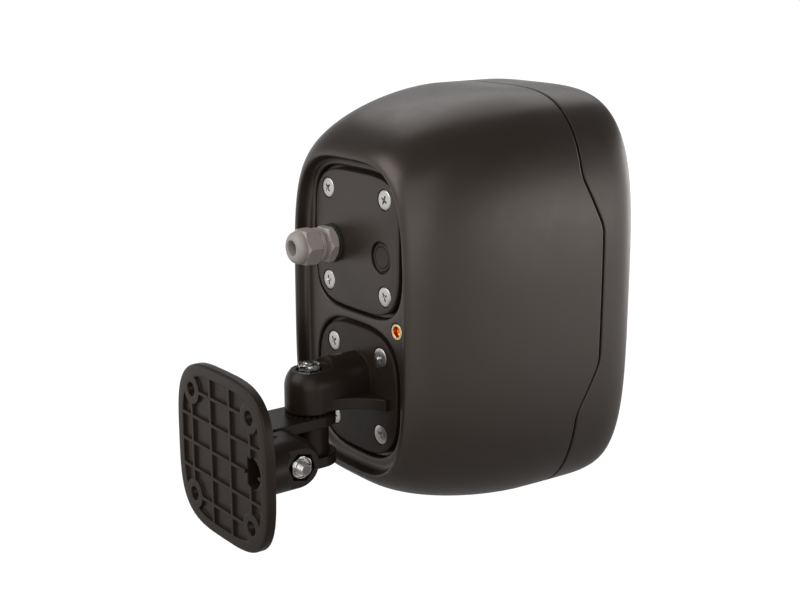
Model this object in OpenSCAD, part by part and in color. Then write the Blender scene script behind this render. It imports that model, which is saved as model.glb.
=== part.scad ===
// Outdoor two-way wall speaker on a two-axis bracket.
// The wall is the plane y = 0, the speaker faces -y and +z is up.
// The origin is the centre of the four wall holes on the back of the wall plate.

/* [Bracket reach] */
// Wall to the tilt axis
tilt_reach = 23; // [20:0.5:30]
// Tilt axis to the pan axis
pan_gap = 26.3; // [25.5:0.1:34]
// Pan axis to the outer face of the speaker plate
pan_reach = 27.7; // [24:0.1:36]

/* [Bracket joints] */
// Radius of both moulded knuckles
knuckle_r = 12; // [11:0.5:14]
// How far the nut seat reaches past the round top into the arm
seat_margin = 2; // [0.5:0.5:2.5]
// Half the thickness of the link between its toothed faces
link_half = 12.5; // [11:0.5:14]
// Straight part of a knuckle below its round top
knuckle_rise = 13; // [11:0.5:16]
// Height of the flat nut seat above the centre of the round top
seat_rise = 8; // [6:0.5:9]
// Thickness of the flanges of the link
flange_t = 5; // [4:0.5:6]
// Radius of the cores of the link
core_r = 9; // [7.5:0.5:10]
// Number of teeth on each toothed face
tooth_count = 24; // [16:4:36]
// Height of one tooth
tooth_h = 0.6; // [0.4:0.1:0.9]
// Clear gap left between the teeth of two bodies
tooth_gap = 0.3; // [0.2:0.05:0.5]

/* [Clamp bolts] */
// Radius of the clamp bolts
bolt_r = 3; // [2.5:0.5:3]
// Width across flats of the bolt heads and nuts
bolt_af = 10; // [9:0.5:11]
// Thickness of a bolt head
bolt_head_t = 4; // [3:0.5:4]
// Thickness of a nut
nut_t = 5; // [4:0.5:6]
// Length of bolt that shows past its nut
bolt_tail = 1.2; // [0.5:0.1:2]
// How far the pan nut stands above its seat
nut_proud = 2.4; // [0.5:0.1:3]
// Radial clearance of a bolt in the hole it turns in
run_gap = 0.06; // [0.02:0.01:0.1]
// Clearance round a nut or head in its pocket
pocket_gap = 0.4; // [0.2:0.1:0.8]

/* [Wall plate] */
// Width of the wall plate
wall_plate_w = 82; // [78:1:100]
// Height of the wall plate
wall_plate_h = 82; // [78:1:100]
// Thickness of the wall plate
wall_plate_t = 4.4; // [3.5:0.1:6]
// Depth of the ribbed hollow in its back
wall_pocket = 1.4; // [1:0.1:2.4]
// Distance between neighbouring wall holes
wall_pitch = 52.4; // [46:0.2:54]
// Radius of the wall holes
wall_hole_r = 3.5; // [2:0.1:4]
// Radius of the ring round each wall hole
wall_ring_r = 7.2; // [6:0.1:8]
// Width of the solid rim
wall_rim = 5.5; // [4:0.5:7]
// Thickness of the back ribs
rib_t = 1.6; // [1:0.1:2.5]
// Depth of the cored hollow in the arm behind the plate
arm_core_depth = 12; // [8:0.5:14]
// Radius of that cored hollow
arm_core_r = 7.5; // [5:0.5:8]

/* [Speaker plate] */
// Width of the speaker plate
speaker_plate_w = 64.8; // [60:0.2:72]
// Height of the speaker plate
speaker_plate_h = 62.6; // [60:0.2:68]
// Thickness of the speaker plate
speaker_plate_t = 4.2; // [3:0.1:6]
// Height of the plate's centre above the tilt axis
speaker_plate_z = 19.2; // [17:0.1:22]
// Distance between neighbouring plate screws
plate_pitch = 38.6; // [36:0.2:42]
// Thickness of the side fins of both arms
fin_t = 5.6; // [4:0.2:7]
// Half the width of the fins at the plate
fin_half = 28; // [22:0.5:30]
// Thickness left where the fins' hollow edge meets the plate
fin_tip = 1.5; // [1:0.1:2.5]
// How far inside the knuckle their hollow edge starts
fin_bite = 0.5; // [0.4:0.1:1]

/* [Cabinet] */
// Width of the cabinet
cab_w = 138; // [134:1:150]
// Height of the cabinet
cab_h = 205; // [200:1:220]
// Depth from the rear lip to the front edge
cab_d = 124; // [120.5:0.5:138]
// Height of the cabinet's centre above the tilt axis
cab_z = 60; // [58:0.5:62]
// Width of the flat rear face
rear_w = 90.4; // [89.6:0.2:96]
// Height of the flat rear face
rear_h = 155.2; // [154.6:0.2:160]
// How far the rear face and its recess sit below the cabinet's centre
rear_drop = 4.1; // [3.7:0.1:4.5]
// Depth over which the sides swell to full width
side_round = 120; // [100:1:120]
// Depth over which the top and bottom swell to full height
top_round = 75; // [65:1:100]
// Wall thickness of both mouldings
wall = 3; // [2.5:0.1:3.5]
// Radius of the rounding round the front edge
front_round = 16; // [12:1:18]
// How far that rounding draws in
front_inset = 3; // [2:0.5:5]

/* [Seam] */
// Depth of the seam at the top and bottom
seam_high = 91.4; // [88.4:0.2:94.4]
// Depth of the seam along the middle
seam_low = 103.4; // [100.4:0.2:105.4]
// Width of the groove along the seam
seam_gap = 1; // [0.6:0.1:1.4]
// Depth of that groove below the outside
seam_groove = 1.2; // [0.8:0.1:1.6]
// Height of the seam's middle stretch above the cabinet's centre
seam_mid_top = 38; // [34:1:42]
// Depth of its middle stretch below the cabinet's centre
seam_mid_bottom = 30; // [26:1:34]
// Height taken by each slanted stretch
seam_slant = 25; // [22:1:28]
// Radius of the seam's bends
seam_bend = 8; // [2:1:12]

/* [Rear recess] */
// Width of the recess at its lip
recess_w = 87.8; // [86:0.2:88.2]
// Height of the recess at its lip
recess_h = 152.4; // [152:0.2:153]
// Depth from the lip to the recess floor
recess_d = 5.8; // [5.6:0.1:6.4]
// How far the recess wall leans in
recess_lean = 1.2; // [0.8:0.1:1.6]
// Depth from the lip to the outer face of cover and plate
face_depth = 5.4; // [5:0.1:5.6]
// Gap left open round the cover and the plate
pocket_reveal = 1.8; // [1:0.1:2]

/* [Rear cover] */
// Width of the cover
cover_w = 68; // [66:0.2:69]
// Height of the cover
cover_h = 67; // [66:0.2:68]
// Thickness of the cover
cover_t = 3; // [2.5:0.1:4]
// Thickness of the gasket under it
gasket_t = 1.2; // [0.8:0.1:2]
// Height of the cover's centre above the tilt axis
cover_z = 92; // [91:0.5:92]
// Distance between neighbouring cover screws
cover_pitch = 46; // [44:0.5:48]
// Rim of the cover beside the terminal bay
bay_rim = 3.5; // [3:0.1:4]
// Height of the terminal bay
bay_h = 29; // [27:1:30]
// Depth of the terminal bay below its gasket
bay_d = 24; // [23:0.5:28]
// Wall of the terminal bay
bay_wall = 2.4; // [2:0.1:3]
// Corner radius of the terminal bay
bay_corner = 6; // [4:0.5:7]

/* [Machine screws] */
// Radius of the screws' shanks
screw_r = 2.5; // [2:0.1:2.5]
// Radius of their heads
screw_head_r = 4.8; // [4:0.1:5]
// Thickness of their heads
screw_head_t = 2.2; // [1.6:0.1:2.4]
// Length of their shanks
screw_l = 12; // [10:0.5:16]
// Bite of a thread into its boss
thread_bite = 0.15; // [0.05:0.05:0.3]
// Clearance round a shank or head in a plate
screw_gap = 0.3; // [0.2:0.05:0.6]
// Wall of a screw boss
boss_wall = 2.4; // [2:0.1:3]

/* [Small screws] */
// Radius of the screws in the front
small_screw_r = 1.8; // [1.4:0.1:2]
// Radius of their heads
small_head_r = 3.2; // [2.8:0.1:3.4]
// Length of the screws that join both mouldings
case_screw_l = 30; // [28:0.5:36]
// Distance from the cabinet wall to those screws
case_inset = 11; // [10.5:0.5:13]
// Height of the upper and lower pairs from the middle
case_rise = 66; // [62:1:68]

/* [Cable gland] */
// Distance from the cover's side to the gland's axis
gland_inset = 14; // [13.5:0.5:15]
// Height of the gland below the cover's centre
gland_drop = 4; // [3:0.5:4.5]
// Radius of the gland's thread
gland_r = 6; // [5.5:0.5:6.5]
// Radius of the cable hole
gland_hole_r = 3.7; // [2.5:0.1:3.8]
// Width across flats of both hexagons
gland_af = 16.5; // [15.5:0.5:17]
// Thickness of the rubber washer under the body
gland_washer_t = 1.2; // [0.8:0.1:1.6]
// Thickness of the body's hexagon
gland_flange_t = 4.8; // [4:0.2:8]
// Length of the neck between body and cap
gland_neck_l = 2.1; // [1.5:0.1:3]
// Length of the cap's round collar
gland_collar_l = 2.2; // [1.5:0.1:4]
// Length of the cap's hexagon
gland_cap_l = 8.8; // [7:0.2:12]
// Length of the cap's round nose
gland_nose_l = 4.5; // [4:0.5:9]
// Thickness of the locknut
locknut_t = 4; // [3:0.5:4]

/* [Plug and insert] */
// Distance from the cover's side to the plug's axis
plug_inset = 14; // [13.5:0.5:15]
// Height of the plug below the cover's centre
plug_drop = 4.6; // [4:0.2:5]
// Radius of the plug's hole
plug_r = 6.6; // [5:0.1:6.8]
// Width of the lip that holds the plug from behind
plug_lip = 1.2; // [0.6:0.1:1.2]
// Width of the step round the plug's face
plug_step = 0.8; // [0.5:0.1:1.2]
// Depth of that step
plug_step_t = 1.2; // [0.8:0.1:1.6]
// Radius of the ring sunk in the plug's face
plug_ring_r = 4.6; // [3.5:0.1:5]
// Depth of that ring
plug_ring_d = 0.6; // [0.3:0.1:0.8]
// Offset of the brass insert from the middle
insert_x = 32; // [31:0.2:32.6]
// Height of the insert above the tilt axis
insert_z = 54; // [53.4:0.2:54.6]
// Outer radius of the insert
insert_r = 3.5; // [3.2:0.1:3.6]
// Bore radius of the insert
insert_bore_r = 2.35; // [2.2:0.05:2.5]
// Length of the insert
insert_l = 9; // [7:0.5:11]

/* [Front] */
// Depth of the baffle's front face
baffle_depth = 112.4; // [110.9:0.1:114.4]
// Thickness of the baffle
baffle_t = 4; // [3:0.5:5]
// Width of the bezel's front rim
bezel_rim = 4; // [3.5:0.5:6]
// Radius to which the grille is bowed
grille_bow_r = 420; // [380:10:600]
// Thickness of the grille sheet
grille_t = 1.2; // [1:0.1:1.6]
// Width of the ledge that carries the grille's edge
ledge_w = 2.5; // [1.5:0.1:3]
// Distance between neighbouring grille holes
grille_pitch = 10; // [9.5:0.1:12]
// Radius of the grille holes
grille_hole_r = 3.2; // [2:0.1:3.4]
// Thickness of the cloth behind the grille
cloth_t = 0.8; // [0.5:0.1:1]
// Gap between the grille and the cloth
cloth_gap = 0.2; // [0.1:0.05:0.4]

// Height of the grille's bow in front of the bezel
grille_bow = 3; // [2:0.5:4]

/* [Woofer] */
// Height of the woofer below the cabinet's centre
woofer_drop = 36; // [34:1:38]
// Radius of the basket's flange
woofer_r = 47; // [46:0.5:49]
// Radius of the baffle hole
woofer_hole_r = 39; // [37:0.5:40]
// Thickness of the flange
woofer_flange_t = 2.4; // [2:0.1:3]
// Depth of the basket behind the baffle's front
basket_d = 26; // [24:0.5:30]
// Radius of the magnet
magnet_r = 31; // [28:0.5:33]
// Thickness of the magnet
magnet_t = 11; // [9:0.5:14]
// Thickness of each steel plate
pole_t = 4; // [3:0.5:5]
// Radius of the voice coil former
coil_r = 10; // [9:0.5:12]
// Gap between coil, pole and top plate
coil_gap = 0.7; // [0.5:0.1:1]
// Thickness of the cone paper
cone_t = 1; // [0.8:0.1:1.4]
// Thickness of the spider
spider_t = 1.2; // [0.8:0.1:1.4]
// Width of the basket's ledge outside the spider
spider_ledge = 6; // [5:0.5:7]

/* [Tweeter] */
// Height of the tweeter above the cabinet's centre
tweeter_rise = 48; // [46:1:52]
// Radius of the tweeter's plate
tweeter_r = 27; // [25:0.5:29]
// Thickness of that plate
tweeter_plate_t = 3; // [2.5:0.1:3]
// Radius of the dome
dome_r = 12.5; // [10:0.5:13]
// Radius of the tweeter's magnet
tweeter_magnet_r = 18; // [16:0.5:20]
// Length of the tweeter's magnet
tweeter_magnet_l = 14; // [10:0.5:18]

/* [Terminals] */
// Distance between neighbouring terminals
terminal_pitch = 8; // [7:0.5:9]
// Height of the terminal block
terminal_h = 10; // [9:0.5:12]
// Thickness of the terminal block
terminal_t = 9; // [8:0.5:10]
// Radius of a terminal screw
terminal_screw_r = 1.8; // [1.5:0.1:2]
// Depth of the screw heads below the block's face
terminal_sunk = 3; // [2:0.5:3.5]
// Length of a terminal screw
terminal_screw_l = 4; // [3:0.5:5]
// Width of a wire opening
wire_w = 5; // [4:0.5:6]
// Height of a wire opening
wire_h = 4; // [3:0.5:5]
// Depth of a wire opening
wire_d = 3; // [2:0.5:4]

/* [Damping pad] */
// Width of the pad
pad_w = 76; // [60:1:84]
// Height of the pad
pad_h = 60; // [50:1:64]
// Thickness of the pad
pad_t = 14; // [10:0.5:16]

/* [Crossover] */
// Width of the board
board_w = 62; // [56:1:68]
// Height of the board
board_h = 40; // [36:1:44]
// Thickness of the board
board_t = 1.6; // [1.2:0.1:2]
// Height of the posts under the board
post_h = 2; // [1.5:0.5:4]
// Radius of those posts
post_r = 3; // [2.5:0.5:3.5]
// Distance from the bay's sides to the middle of a post
post_inset = 4; // [3.5:0.5:5]
// Outer radius of the coil
choke_r = 11; // [9:0.5:13]
// Length of the coil
choke_l = 11; // [8:0.5:14]
// Radius of the capacitor
cap_r = 5; // [4:0.5:6]
// Length of the capacitor
cap_l = 22; // [18:1:26]
// Side of the resistor
resistor_w = 6; // [5:0.5:8]
// Length of the resistor
resistor_l = 20; // [16:1:22]

/* [Hidden] */

$fn = 64;
// A hair that makes cuts pass cleanly through a face
eps = 0.5;

// Bracket
face_y = -(tilt_reach + pan_gap + pan_reach);
tooth_space = 2 * tooth_h + tooth_gap;
knuckle_base = link_half + tooth_space;
dome_z = link_half + knuckle_rise;
seat_z = dome_z + seat_rise;
seat_r = sqrt(pow(knuckle_r, 2) - pow(seat_rise, 2));
spotface_r = seat_r + seat_margin;
tooth_in = bolt_r + 2.4;
tooth_w = PI * knuckle_r / tooth_count;
bolt_end = seat_z + nut_proud + bolt_tail;
nut_floor = seat_z + nut_proud - nut_t;
nut_corner_r = nut_corner(bolt_af);
fin_base = knuckle_base + 0.6;
tooth_sink = 0.3;
tooth_tip = 0.3;
flange_lap = 5;
link_groove_l = 8;
link_groove_r = 1.6;
link_groove_d = 0.8;

// Outline exponents of the rounded squares
plate_square = 3.5;
small_plate_square = 3.1;
cover_square = 4;
cab_square = 3.7;
recess_square = 3.8;
outline_steps = 72;

// Cabinet depths, measured forward from the rear lip
rear_y = face_y + face_depth;
swell_side = 1.75;
swell_top = 1.6;
pocket_depth = face_depth + cover_t + gasket_t;
plate_floor = face_depth + speaker_plate_t;
bay_w = cover_w - 2 * bay_rim;
bay_floor = pocket_depth + bay_d;
bay_back = bay_floor + bay_wall;
board_depth = bay_back + post_h;
cover_y = cover_z - cab_z;
speaker_plate_y = speaker_plate_z - cab_z;
insert_y = insert_z - cab_z;
boss_r = screw_r + boss_wall;
screw_tip = face_depth + screw_head_t + screw_l;
boss_end = screw_tip + boss_wall;

// Gland, measured out from the cover's outer face
gland_x = cover_w / 2 - gland_inset;
plug_x = cover_w / 2 - plug_inset;
gland_y = cover_y - gland_drop;
gland_tail = cover_t + locknut_t + 2;
flange_end = gland_washer_t + gland_flange_t;
collar_start = flange_end + gland_neck_l;
cap_start = collar_start + gland_collar_l;
gland_tip = cap_start + gland_cap_l + gland_nose_l;
collar_r = gland_af / 2 + 0.2;
gland_neck_r = gland_r + 1.2;
gland_bore_room = 0.6;
gland_seal_r = gland_r - 1;

// Front
grille_rim = bezel_rim + 0.4;
grille_a = cab_w / 2 - front_inset - grille_rim;
grille_b = cab_h / 2 - front_inset - grille_rim;
grille_top_depth = cab_d + grille_bow;
cloth_drop = grille_t + cloth_gap;
cloth_edge = ledge_w / 2 + 0.1;
baffle_back = baffle_depth - baffle_t;
small_head_t = 1.8;
case_boss_r = small_screw_r + boss_wall;
case_boss_start = baffle_depth - case_screw_l - boss_wall;
case_boss_l = baffle_back - case_boss_start;

// Woofer depths
flange_front = baffle_depth + woofer_flange_t;
basket_back = baffle_depth - basket_d;
top_plate_back = basket_back - pole_t;
magnet_back = top_plate_back - magnet_t;
yoke_back = magnet_back - pole_t;
basket_seat_r = magnet_r - 5;
basket_wall = 1.6;
surround_w = 6;
cone_r = woofer_hole_r - 3 - surround_w;
cone_neck_depth = basket_back + 6;
pole_r = coil_r - coil_gap - 0.4;
coil_wall = 0.8;

// Corner radius of a hexagon
function nut_corner(af) = af / 2 / cos(30);
function power_sign(v, e) = sign(v) * pow(abs(v), e);
function outline(a, b, n, steps = outline_steps) =
    [for (i = [0 : steps - 1])
        let (t = 360 * i / steps)
        [a * power_sign(cos(t), 2 / n), b * power_sign(sin(t), 2 / n)]];

// Share of the full swell reached at a share of its depth
function swell(t, e) = pow(1 - pow(1 - min(1, max(0, t)), e), 1 / e);
function front_draw(d) =
    let (t = min(1, max(0, (d - cab_d + front_round) / front_round)))
    front_inset * (1 - sqrt(1 - t * t));
function cab_a(d) =
    rear_w / 2 + (cab_w - rear_w) / 2 * swell(d / side_round, swell_side) - front_draw(d);
function cab_b(d) =
    rear_h / 2 + (cab_h - rear_h) / 2 * swell(d / top_round, swell_top) - front_draw(d);
function cab_shift(d) = -rear_drop * (1 - swell(d / top_round, swell_top));

// Rings close together at the rear rounding and at the front rounding
function shell_depths(from, to, count) =
    concat([for (i = [0 : count]) from + (to - front_round - from) * pow(i / count, 2.6)],
           [for (i = [1 : 4]) to - front_round + front_round * sin(22.5 * i)]);

// A closed solid through superellipse rings at the given depths, inset all round
module shell_loft(depths, inset) {
    rings = [for (d = depths)
        let (p = outline(cab_a(d) - inset, cab_b(d) - inset, cab_square))
        [for (q = p) [q.x, q.y + cab_shift(d), d]]];
    n = outline_steps;
    last = len(depths) - 1;
    sides = [for (k = [0 : last - 1], i = [0 : n - 1])
        let (j = (i + 1) % n)
        each [[k * n + i, (k + 1) * n + i, (k + 1) * n + j],
              [k * n + i, (k + 1) * n + j, k * n + j]]];
    caps = [[for (i = [0 : n - 1]) i],
            [for (i = [n - 1 : -1 : 0]) last * n + i]];
    polyhedron([for (r = rings) each r], concat(sides, caps));
}

module squircle(w, h, n) {
    polygon(outline(w / 2, h / 2, n));
}

module in_wall() {
    rotate([90, 0, 0]) children();
}

module in_cabinet() {
    translate([0, rear_y, cab_z]) rotate([90, 0, 0]) children();
}

module at_pan() {
    translate([0, -(tilt_reach + pan_gap), 0]) children();
}

// Turns a part made along +z so that it lies along -x at the tilt axis
module at_tilt() {
    translate([0, -tilt_reach, 0]) rotate([0, -90, 0]) rotate([0, 0, 180]) children();
}

module hexagon(af, h) {
    cylinder(r = af / 2 / cos(30), h = h, $fn = 6);
}

module tube(outer, inner, h) {
    difference() {
        cylinder(r = outer, h = h);
        translate([0, 0, -eps]) cylinder(r = inner, h = h + 2 * eps);
    }
}

module square_of(pitch) {
    for (x = [-1, 1], y = [-1, 1])
        translate([x * pitch / 2, y * pitch / 2, 0]) children();
}

// Ring of radial teeth that stand up from z = 0
module teeth(outer) {
    for (i = [0 : tooth_count - 1])
        rotate([0, 0, 360 * (i + 0.5) / tooth_count])
            translate([tooth_in, 0, 0])
                rotate([90, 0, 90])
                    linear_extrude(outer - tooth_in)
                        polygon([[-tooth_w / 2, -tooth_sink], [tooth_w / 2, -tooth_sink],
                                 [tooth_w / 2, 0], [tooth_tip / 2, tooth_h],
                                 [-tooth_tip / 2, tooth_h], [-tooth_w / 2, 0]]);
}

// Moulded arm: the joint axis is z, the arm runs along -y for reach
module knuckle_arm(reach) {
    translate([0, 0, knuckle_base]) cylinder(r = knuckle_r, h = dome_z - knuckle_base);
    translate([0, 0, dome_z]) sphere(r = knuckle_r);
    rotate([90, 0, 0])
        linear_extrude(reach)
            union() {
                translate([0, dome_z]) circle(r = knuckle_r);
                translate([-knuckle_r, fin_base]) square([2 * knuckle_r, dome_z - fin_base]);
            }
    translate([0, 0, fin_base]) linear_extrude(fin_t) fins(reach);
    translate([0, 0, knuckle_base]) mirror([0, 0, 1]) teeth(knuckle_r - 0.4);
}

// Two fins that sweep out in a quarter circle from the knuckle to the plate
module fins(reach) {
    sweep_r = reach - fin_tip;
    sweep_x = knuckle_r - fin_bite + sweep_r;
    half = min(fin_half, sweep_x);
    difference() {
        translate([-half, -reach]) square([2 * half, reach]);
        for (side = [-1, 1]) translate([side * sweep_x, 0]) circle(r = sweep_r);
    }
}

module wall_plate() {
    color("#3b3734")
        difference() {
            union() {
                in_wall() wall_plate_blank();
                at_tilt() knuckle_arm(tilt_reach - wall_plate_t + 0.1);
            }
            at_tilt() wall_arm_cuts();
            in_wall()
                square_of(wall_pitch)
                    translate([0, 0, -eps]) cylinder(r = wall_hole_r, h = wall_plate_t + 2 * eps);
            in_wall() arm_core();
        }
}

module wall_plate_blank() {
    translate([0, 0, wall_pocket])
        linear_extrude(wall_plate_t - wall_pocket)
            squircle(wall_plate_w, wall_plate_h, plate_square);
    linear_extrude(wall_pocket + 0.05)
        difference() {
            squircle(wall_plate_w, wall_plate_h, plate_square);
            squircle(wall_plate_w - 2 * wall_rim, wall_plate_h - 2 * wall_rim, plate_square);
        }
    linear_extrude(wall_pocket + 0.05)
        intersection() {
            squircle(wall_plate_w - wall_rim, wall_plate_h - wall_rim, plate_square);
            back_ribs();
        }
    square_of(wall_pitch) cylinder(r = wall_ring_r, h = wall_pocket + 0.05);
}

module back_ribs() {
    for (k = [-3, -1, 1, 3])
        translate([k * wall_pitch / 6 - rib_t / 2, -wall_plate_h / 2])
            square([rib_t, wall_plate_h]);
    for (k = [-2 : 2])
        translate([-wall_plate_w / 2, k * wall_pitch / 4 - rib_t / 2])
            square([wall_plate_w, rib_t]);
}

// Bolt hole, flat pad and hexagonal nut pocket of the wall arm
module wall_arm_cuts() {
    cylinder(r = bolt_r, h = bolt_end);
    translate([-knuckle_r - eps, -seat_r + 2, seat_z])
        cube([2 * knuckle_r + 2 * eps, knuckle_r + seat_r, knuckle_r]);
    translate([0, 0, seat_z - nut_t]) hexagon(bolt_af + 2 * pocket_gap, nut_t + eps);
}

// D-shaped hollow that keeps the wall arm's section even
module arm_core() {
    translate([-dome_z, 0, -eps])
        linear_extrude(arm_core_depth + eps)
            intersection() {
                circle(r = arm_core_r);
                translate([-2 * arm_core_r, -arm_core_r])
                    square([2 * arm_core_r + arm_core_r / 2, 2 * arm_core_r]);
            }
}

module clamp_bolt(head_z) {
    translate([0, 0, head_z]) hexagon(bolt_af, bolt_head_t);
    translate([0, 0, head_z + bolt_head_t - 0.1])
        cylinder(r = bolt_r, h = bolt_end - head_z - bolt_head_t + 0.1);
}

module clamp_nut(z) {
    translate([0, 0, z])
        difference() {
            hexagon(bolt_af, nut_t);
            translate([0, 0, -eps]) cylinder(r = bolt_r - thread_bite, h = nut_t + 2 * eps);
        }
}

module tilt_bolt() {
    color("#c9c7c2") at_tilt() clamp_bolt(-link_half - tooth_gap - bolt_head_t);
}

module tilt_nut() {
    color("#d6d4cf") at_tilt() clamp_nut(seat_z - nut_t);
}

module pan_bolt() {
    color("#c9c7c2") at_pan() clamp_bolt(-link_half);
}

module pan_nut() {
    color("#d6d4cf") at_pan() clamp_nut(nut_floor + tooth_gap);
}

// Link: flanges over both axes, round cores between them and a web
module link_arm() {
    color("#37332f")
        difference() {
            union() {
                for (z = [-link_half, link_half - flange_t])
                    translate([0, 0, z]) link_flange();
                at_pan() translate([0, 0, -link_half]) cylinder(r = core_r, h = 2 * link_half);
                at_tilt() translate([0, 0, -link_half]) cylinder(r = core_r, h = 2 * link_half);
                for (z = [-link_half, link_half - flange_t])
                    at_tilt() translate([0, 0, z]) cylinder(r = link_half, h = flange_t);
                translate([-flange_t / 2, -(tilt_reach + pan_gap), -link_half])
                    cube([flange_t, pan_gap, 2 * link_half]);
                at_pan() translate([0, 0, link_half]) teeth(link_half - 0.6);
                at_tilt() translate([0, 0, link_half]) teeth(link_half - 0.6);
            }
            at_pan() translate([0, 0, -link_half - eps])
                cylinder(r = bolt_r, h = 2 * link_half + tooth_h + 2 * eps);
            at_pan() translate([0, 0, -link_half - eps])
                hexagon(bolt_af, bolt_head_t + eps);
            at_tilt() translate([0, 0, -link_half - eps])
                cylinder(r = bolt_r + run_gap, h = 2 * link_half + tooth_h + 2 * eps);
            translate([0, -tilt_reach, link_half - link_groove_d]) link_groove();
        }
}

module link_flange() {
    linear_extrude(flange_t)
        union() {
            translate([0, -(tilt_reach + pan_gap)]) circle(r = link_half);
            translate([-link_half, -(tilt_reach + pan_gap)])
                square([2 * link_half, pan_gap + flange_lap]);
        }
}

module link_groove() {
    linear_extrude(eps + link_groove_d)
        union() {
            for (side = [-1, 1]) translate([side * link_groove_l / 2, 0]) circle(r = link_groove_r);
            translate([-link_groove_l / 2, -link_groove_r])
                square([link_groove_l, 2 * link_groove_r]);
        }
}

module speaker_plate() {
    color("#3b3734")
        difference() {
            union() {
                speaker_plate_blank();
                at_pan() knuckle_arm(pan_reach + 0.1);
            }
            at_pan() speaker_arm_cuts();
            translate([0, face_y + eps, speaker_plate_z])
                rotate([90, 0, 0])
                    square_of(plate_pitch) screw_hole(speaker_plate_t);
        }
}

module speaker_plate_blank() {
    translate([0, face_y, speaker_plate_z])
        rotate([90, 0, 0])
            linear_extrude(speaker_plate_t)
                squircle(speaker_plate_w, speaker_plate_h, small_plate_square);
}

// Through hole with a flat seat for the head, cut from eps above the face
module screw_hole(t) {
    cylinder(r = screw_r + screw_gap, h = t + 2 * eps);
    cylinder(r = screw_head_r + screw_gap, h = screw_head_t + eps);
}

// Bolt hole, round seat and the counterbore that half sinks the nut
module speaker_arm_cuts() {
    cylinder(r = bolt_r + run_gap, h = bolt_end);
    translate([0, 0, seat_z]) cylinder(r = spotface_r, h = knuckle_r);
    translate([0, 0, nut_floor]) cylinder(r = nut_corner_r + pocket_gap, h = nut_t);
}

// One screw whose head top lies on z = 0 and whose shank runs up to +z
module machine_screw(r, head_r, head_t, l) {
    cylinder(r1 = head_r - 0.8, r2 = head_r, h = 0.6);
    translate([0, 0, 0.6]) cylinder(r = head_r, h = head_t - 0.6);
    translate([0, 0, head_t - 0.1]) cylinder(r = r, h = l + 0.1);
}

module plate_screws() {
    color("#d9d7d2")
        translate([0, face_y, speaker_plate_z])
            rotate([90, 0, 0])
                square_of(plate_pitch)
                    machine_screw(screw_r, screw_head_r, screw_head_t, screw_l);
}

module cover_screws() {
    color("#d9d7d2")
        translate([0, face_y, cover_z])
            rotate([90, 0, 0])
                square_of(cover_pitch)
                    machine_screw(screw_r, screw_head_r, screw_head_t, screw_l);
}

// Side view of the seam, extruded across the cabinet: everything ahead of it
module ahead_of_seam(shift) {
    far = cab_h;
    rotate([90, 0, 90])
        translate([0, 0, -cab_w])
            linear_extrude(2 * cab_w)
                offset(r = -seam_bend) offset(r = 2 * seam_bend) offset(r = -seam_bend)
                    polygon([[-far, seam_high + shift],
                             [-seam_mid_bottom - seam_slant, seam_high + shift],
                             [-seam_mid_bottom, seam_low + shift],
                             [seam_mid_top, seam_low + shift],
                             [seam_mid_top + seam_slant, seam_high + shift],
                             [far, seam_high + shift],
                             [far, 2 * cab_d], [-far, 2 * cab_d]]);
}

module outer_shell() {
    shell_loft(shell_depths(0, cab_d, 11), 0);
}

// Recess for cover and plate: a leaning wall, the floor and two pockets
module rear_recess() {
    hull() {
        translate([0, -rear_drop, -eps])
            linear_extrude(eps) squircle(recess_w, recess_h, recess_square);
        translate([0, -rear_drop, recess_d - 0.01])
            linear_extrude(0.01)
                squircle(recess_w - 2 * recess_lean, recess_h - 2 * recess_lean, recess_square);
    }
    translate([0, cover_y, 0])
        linear_extrude(pocket_depth)
            squircle(cover_w + 2 * pocket_reveal, cover_h + 2 * pocket_reveal, cover_square);
    translate([0, speaker_plate_y, 0])
        linear_extrude(plate_floor)
            squircle(speaker_plate_w + 2 * pocket_reveal, speaker_plate_h + 2 * pocket_reveal,
                     small_plate_square);
}

module bay_outline(grow) {
    x = bay_w / 2 + grow - bay_corner;
    y = bay_h / 2 + grow - bay_corner;
    hull()
        for (sx = [-1, 1], sy = [-1, 1])
            translate([sx * x, sy * y]) circle(r = bay_corner, $fn = 32);
}

// Inner space of the rear shell, kept clear of the recess and its fittings
module rear_cavity() {
    difference() {
        shell_loft(shell_depths(wall, cab_d + wall, 7), wall);
        translate([0, -rear_drop, 0])
            linear_extrude(pocket_depth + wall)
                squircle(recess_w + 2 * wall, recess_h + 2 * wall, recess_square);
        translate([0, cover_y, 0]) linear_extrude(bay_back) bay_outline(bay_wall);
        translate([0, cover_y, 0]) square_of(cover_pitch) cylinder(r = boss_r, h = boss_end);
        translate([0, speaker_plate_y, 0])
            square_of(plate_pitch) cylinder(r = boss_r, h = boss_end);
        translate([-insert_x, insert_y, 0])
            cylinder(r = insert_r + boss_wall, h = recess_d + insert_l + boss_wall);
        translate([0, cover_y, bay_back - 1])
            for (x = [-1, 1], y = [-1, 1])
                translate([x * (bay_w / 2 - post_inset), y * (bay_h / 2 - post_inset), 0])
                    cylinder(r = post_r, h = post_h + 1);
        case_points() case_boss();
    }
}

// Half width of the inner space at the height y, where the case bosses start
function wall_x(y) =
    let (a = cab_a(case_boss_start) - wall, b = cab_b(case_boss_start) - wall)
    a * pow(1 - pow(abs(y) / b, cab_square), 1 / cab_square);

module case_points() {
    for (side = [0, 1], y = [-case_rise, 0, case_rise])
        mirror([side, 0, 0]) translate([wall_x(y) - case_inset, y, 0]) children();
}

// Screw boss on a rib that ties it to the cabinet's side wall
module case_boss() {
    translate([0, 0, case_boss_start]) cylinder(r = case_boss_r, h = case_boss_l);
    translate([0, -boss_wall / 2, case_boss_start])
        cube([case_inset + wall / 2, boss_wall, case_boss_l]);
}

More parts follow.
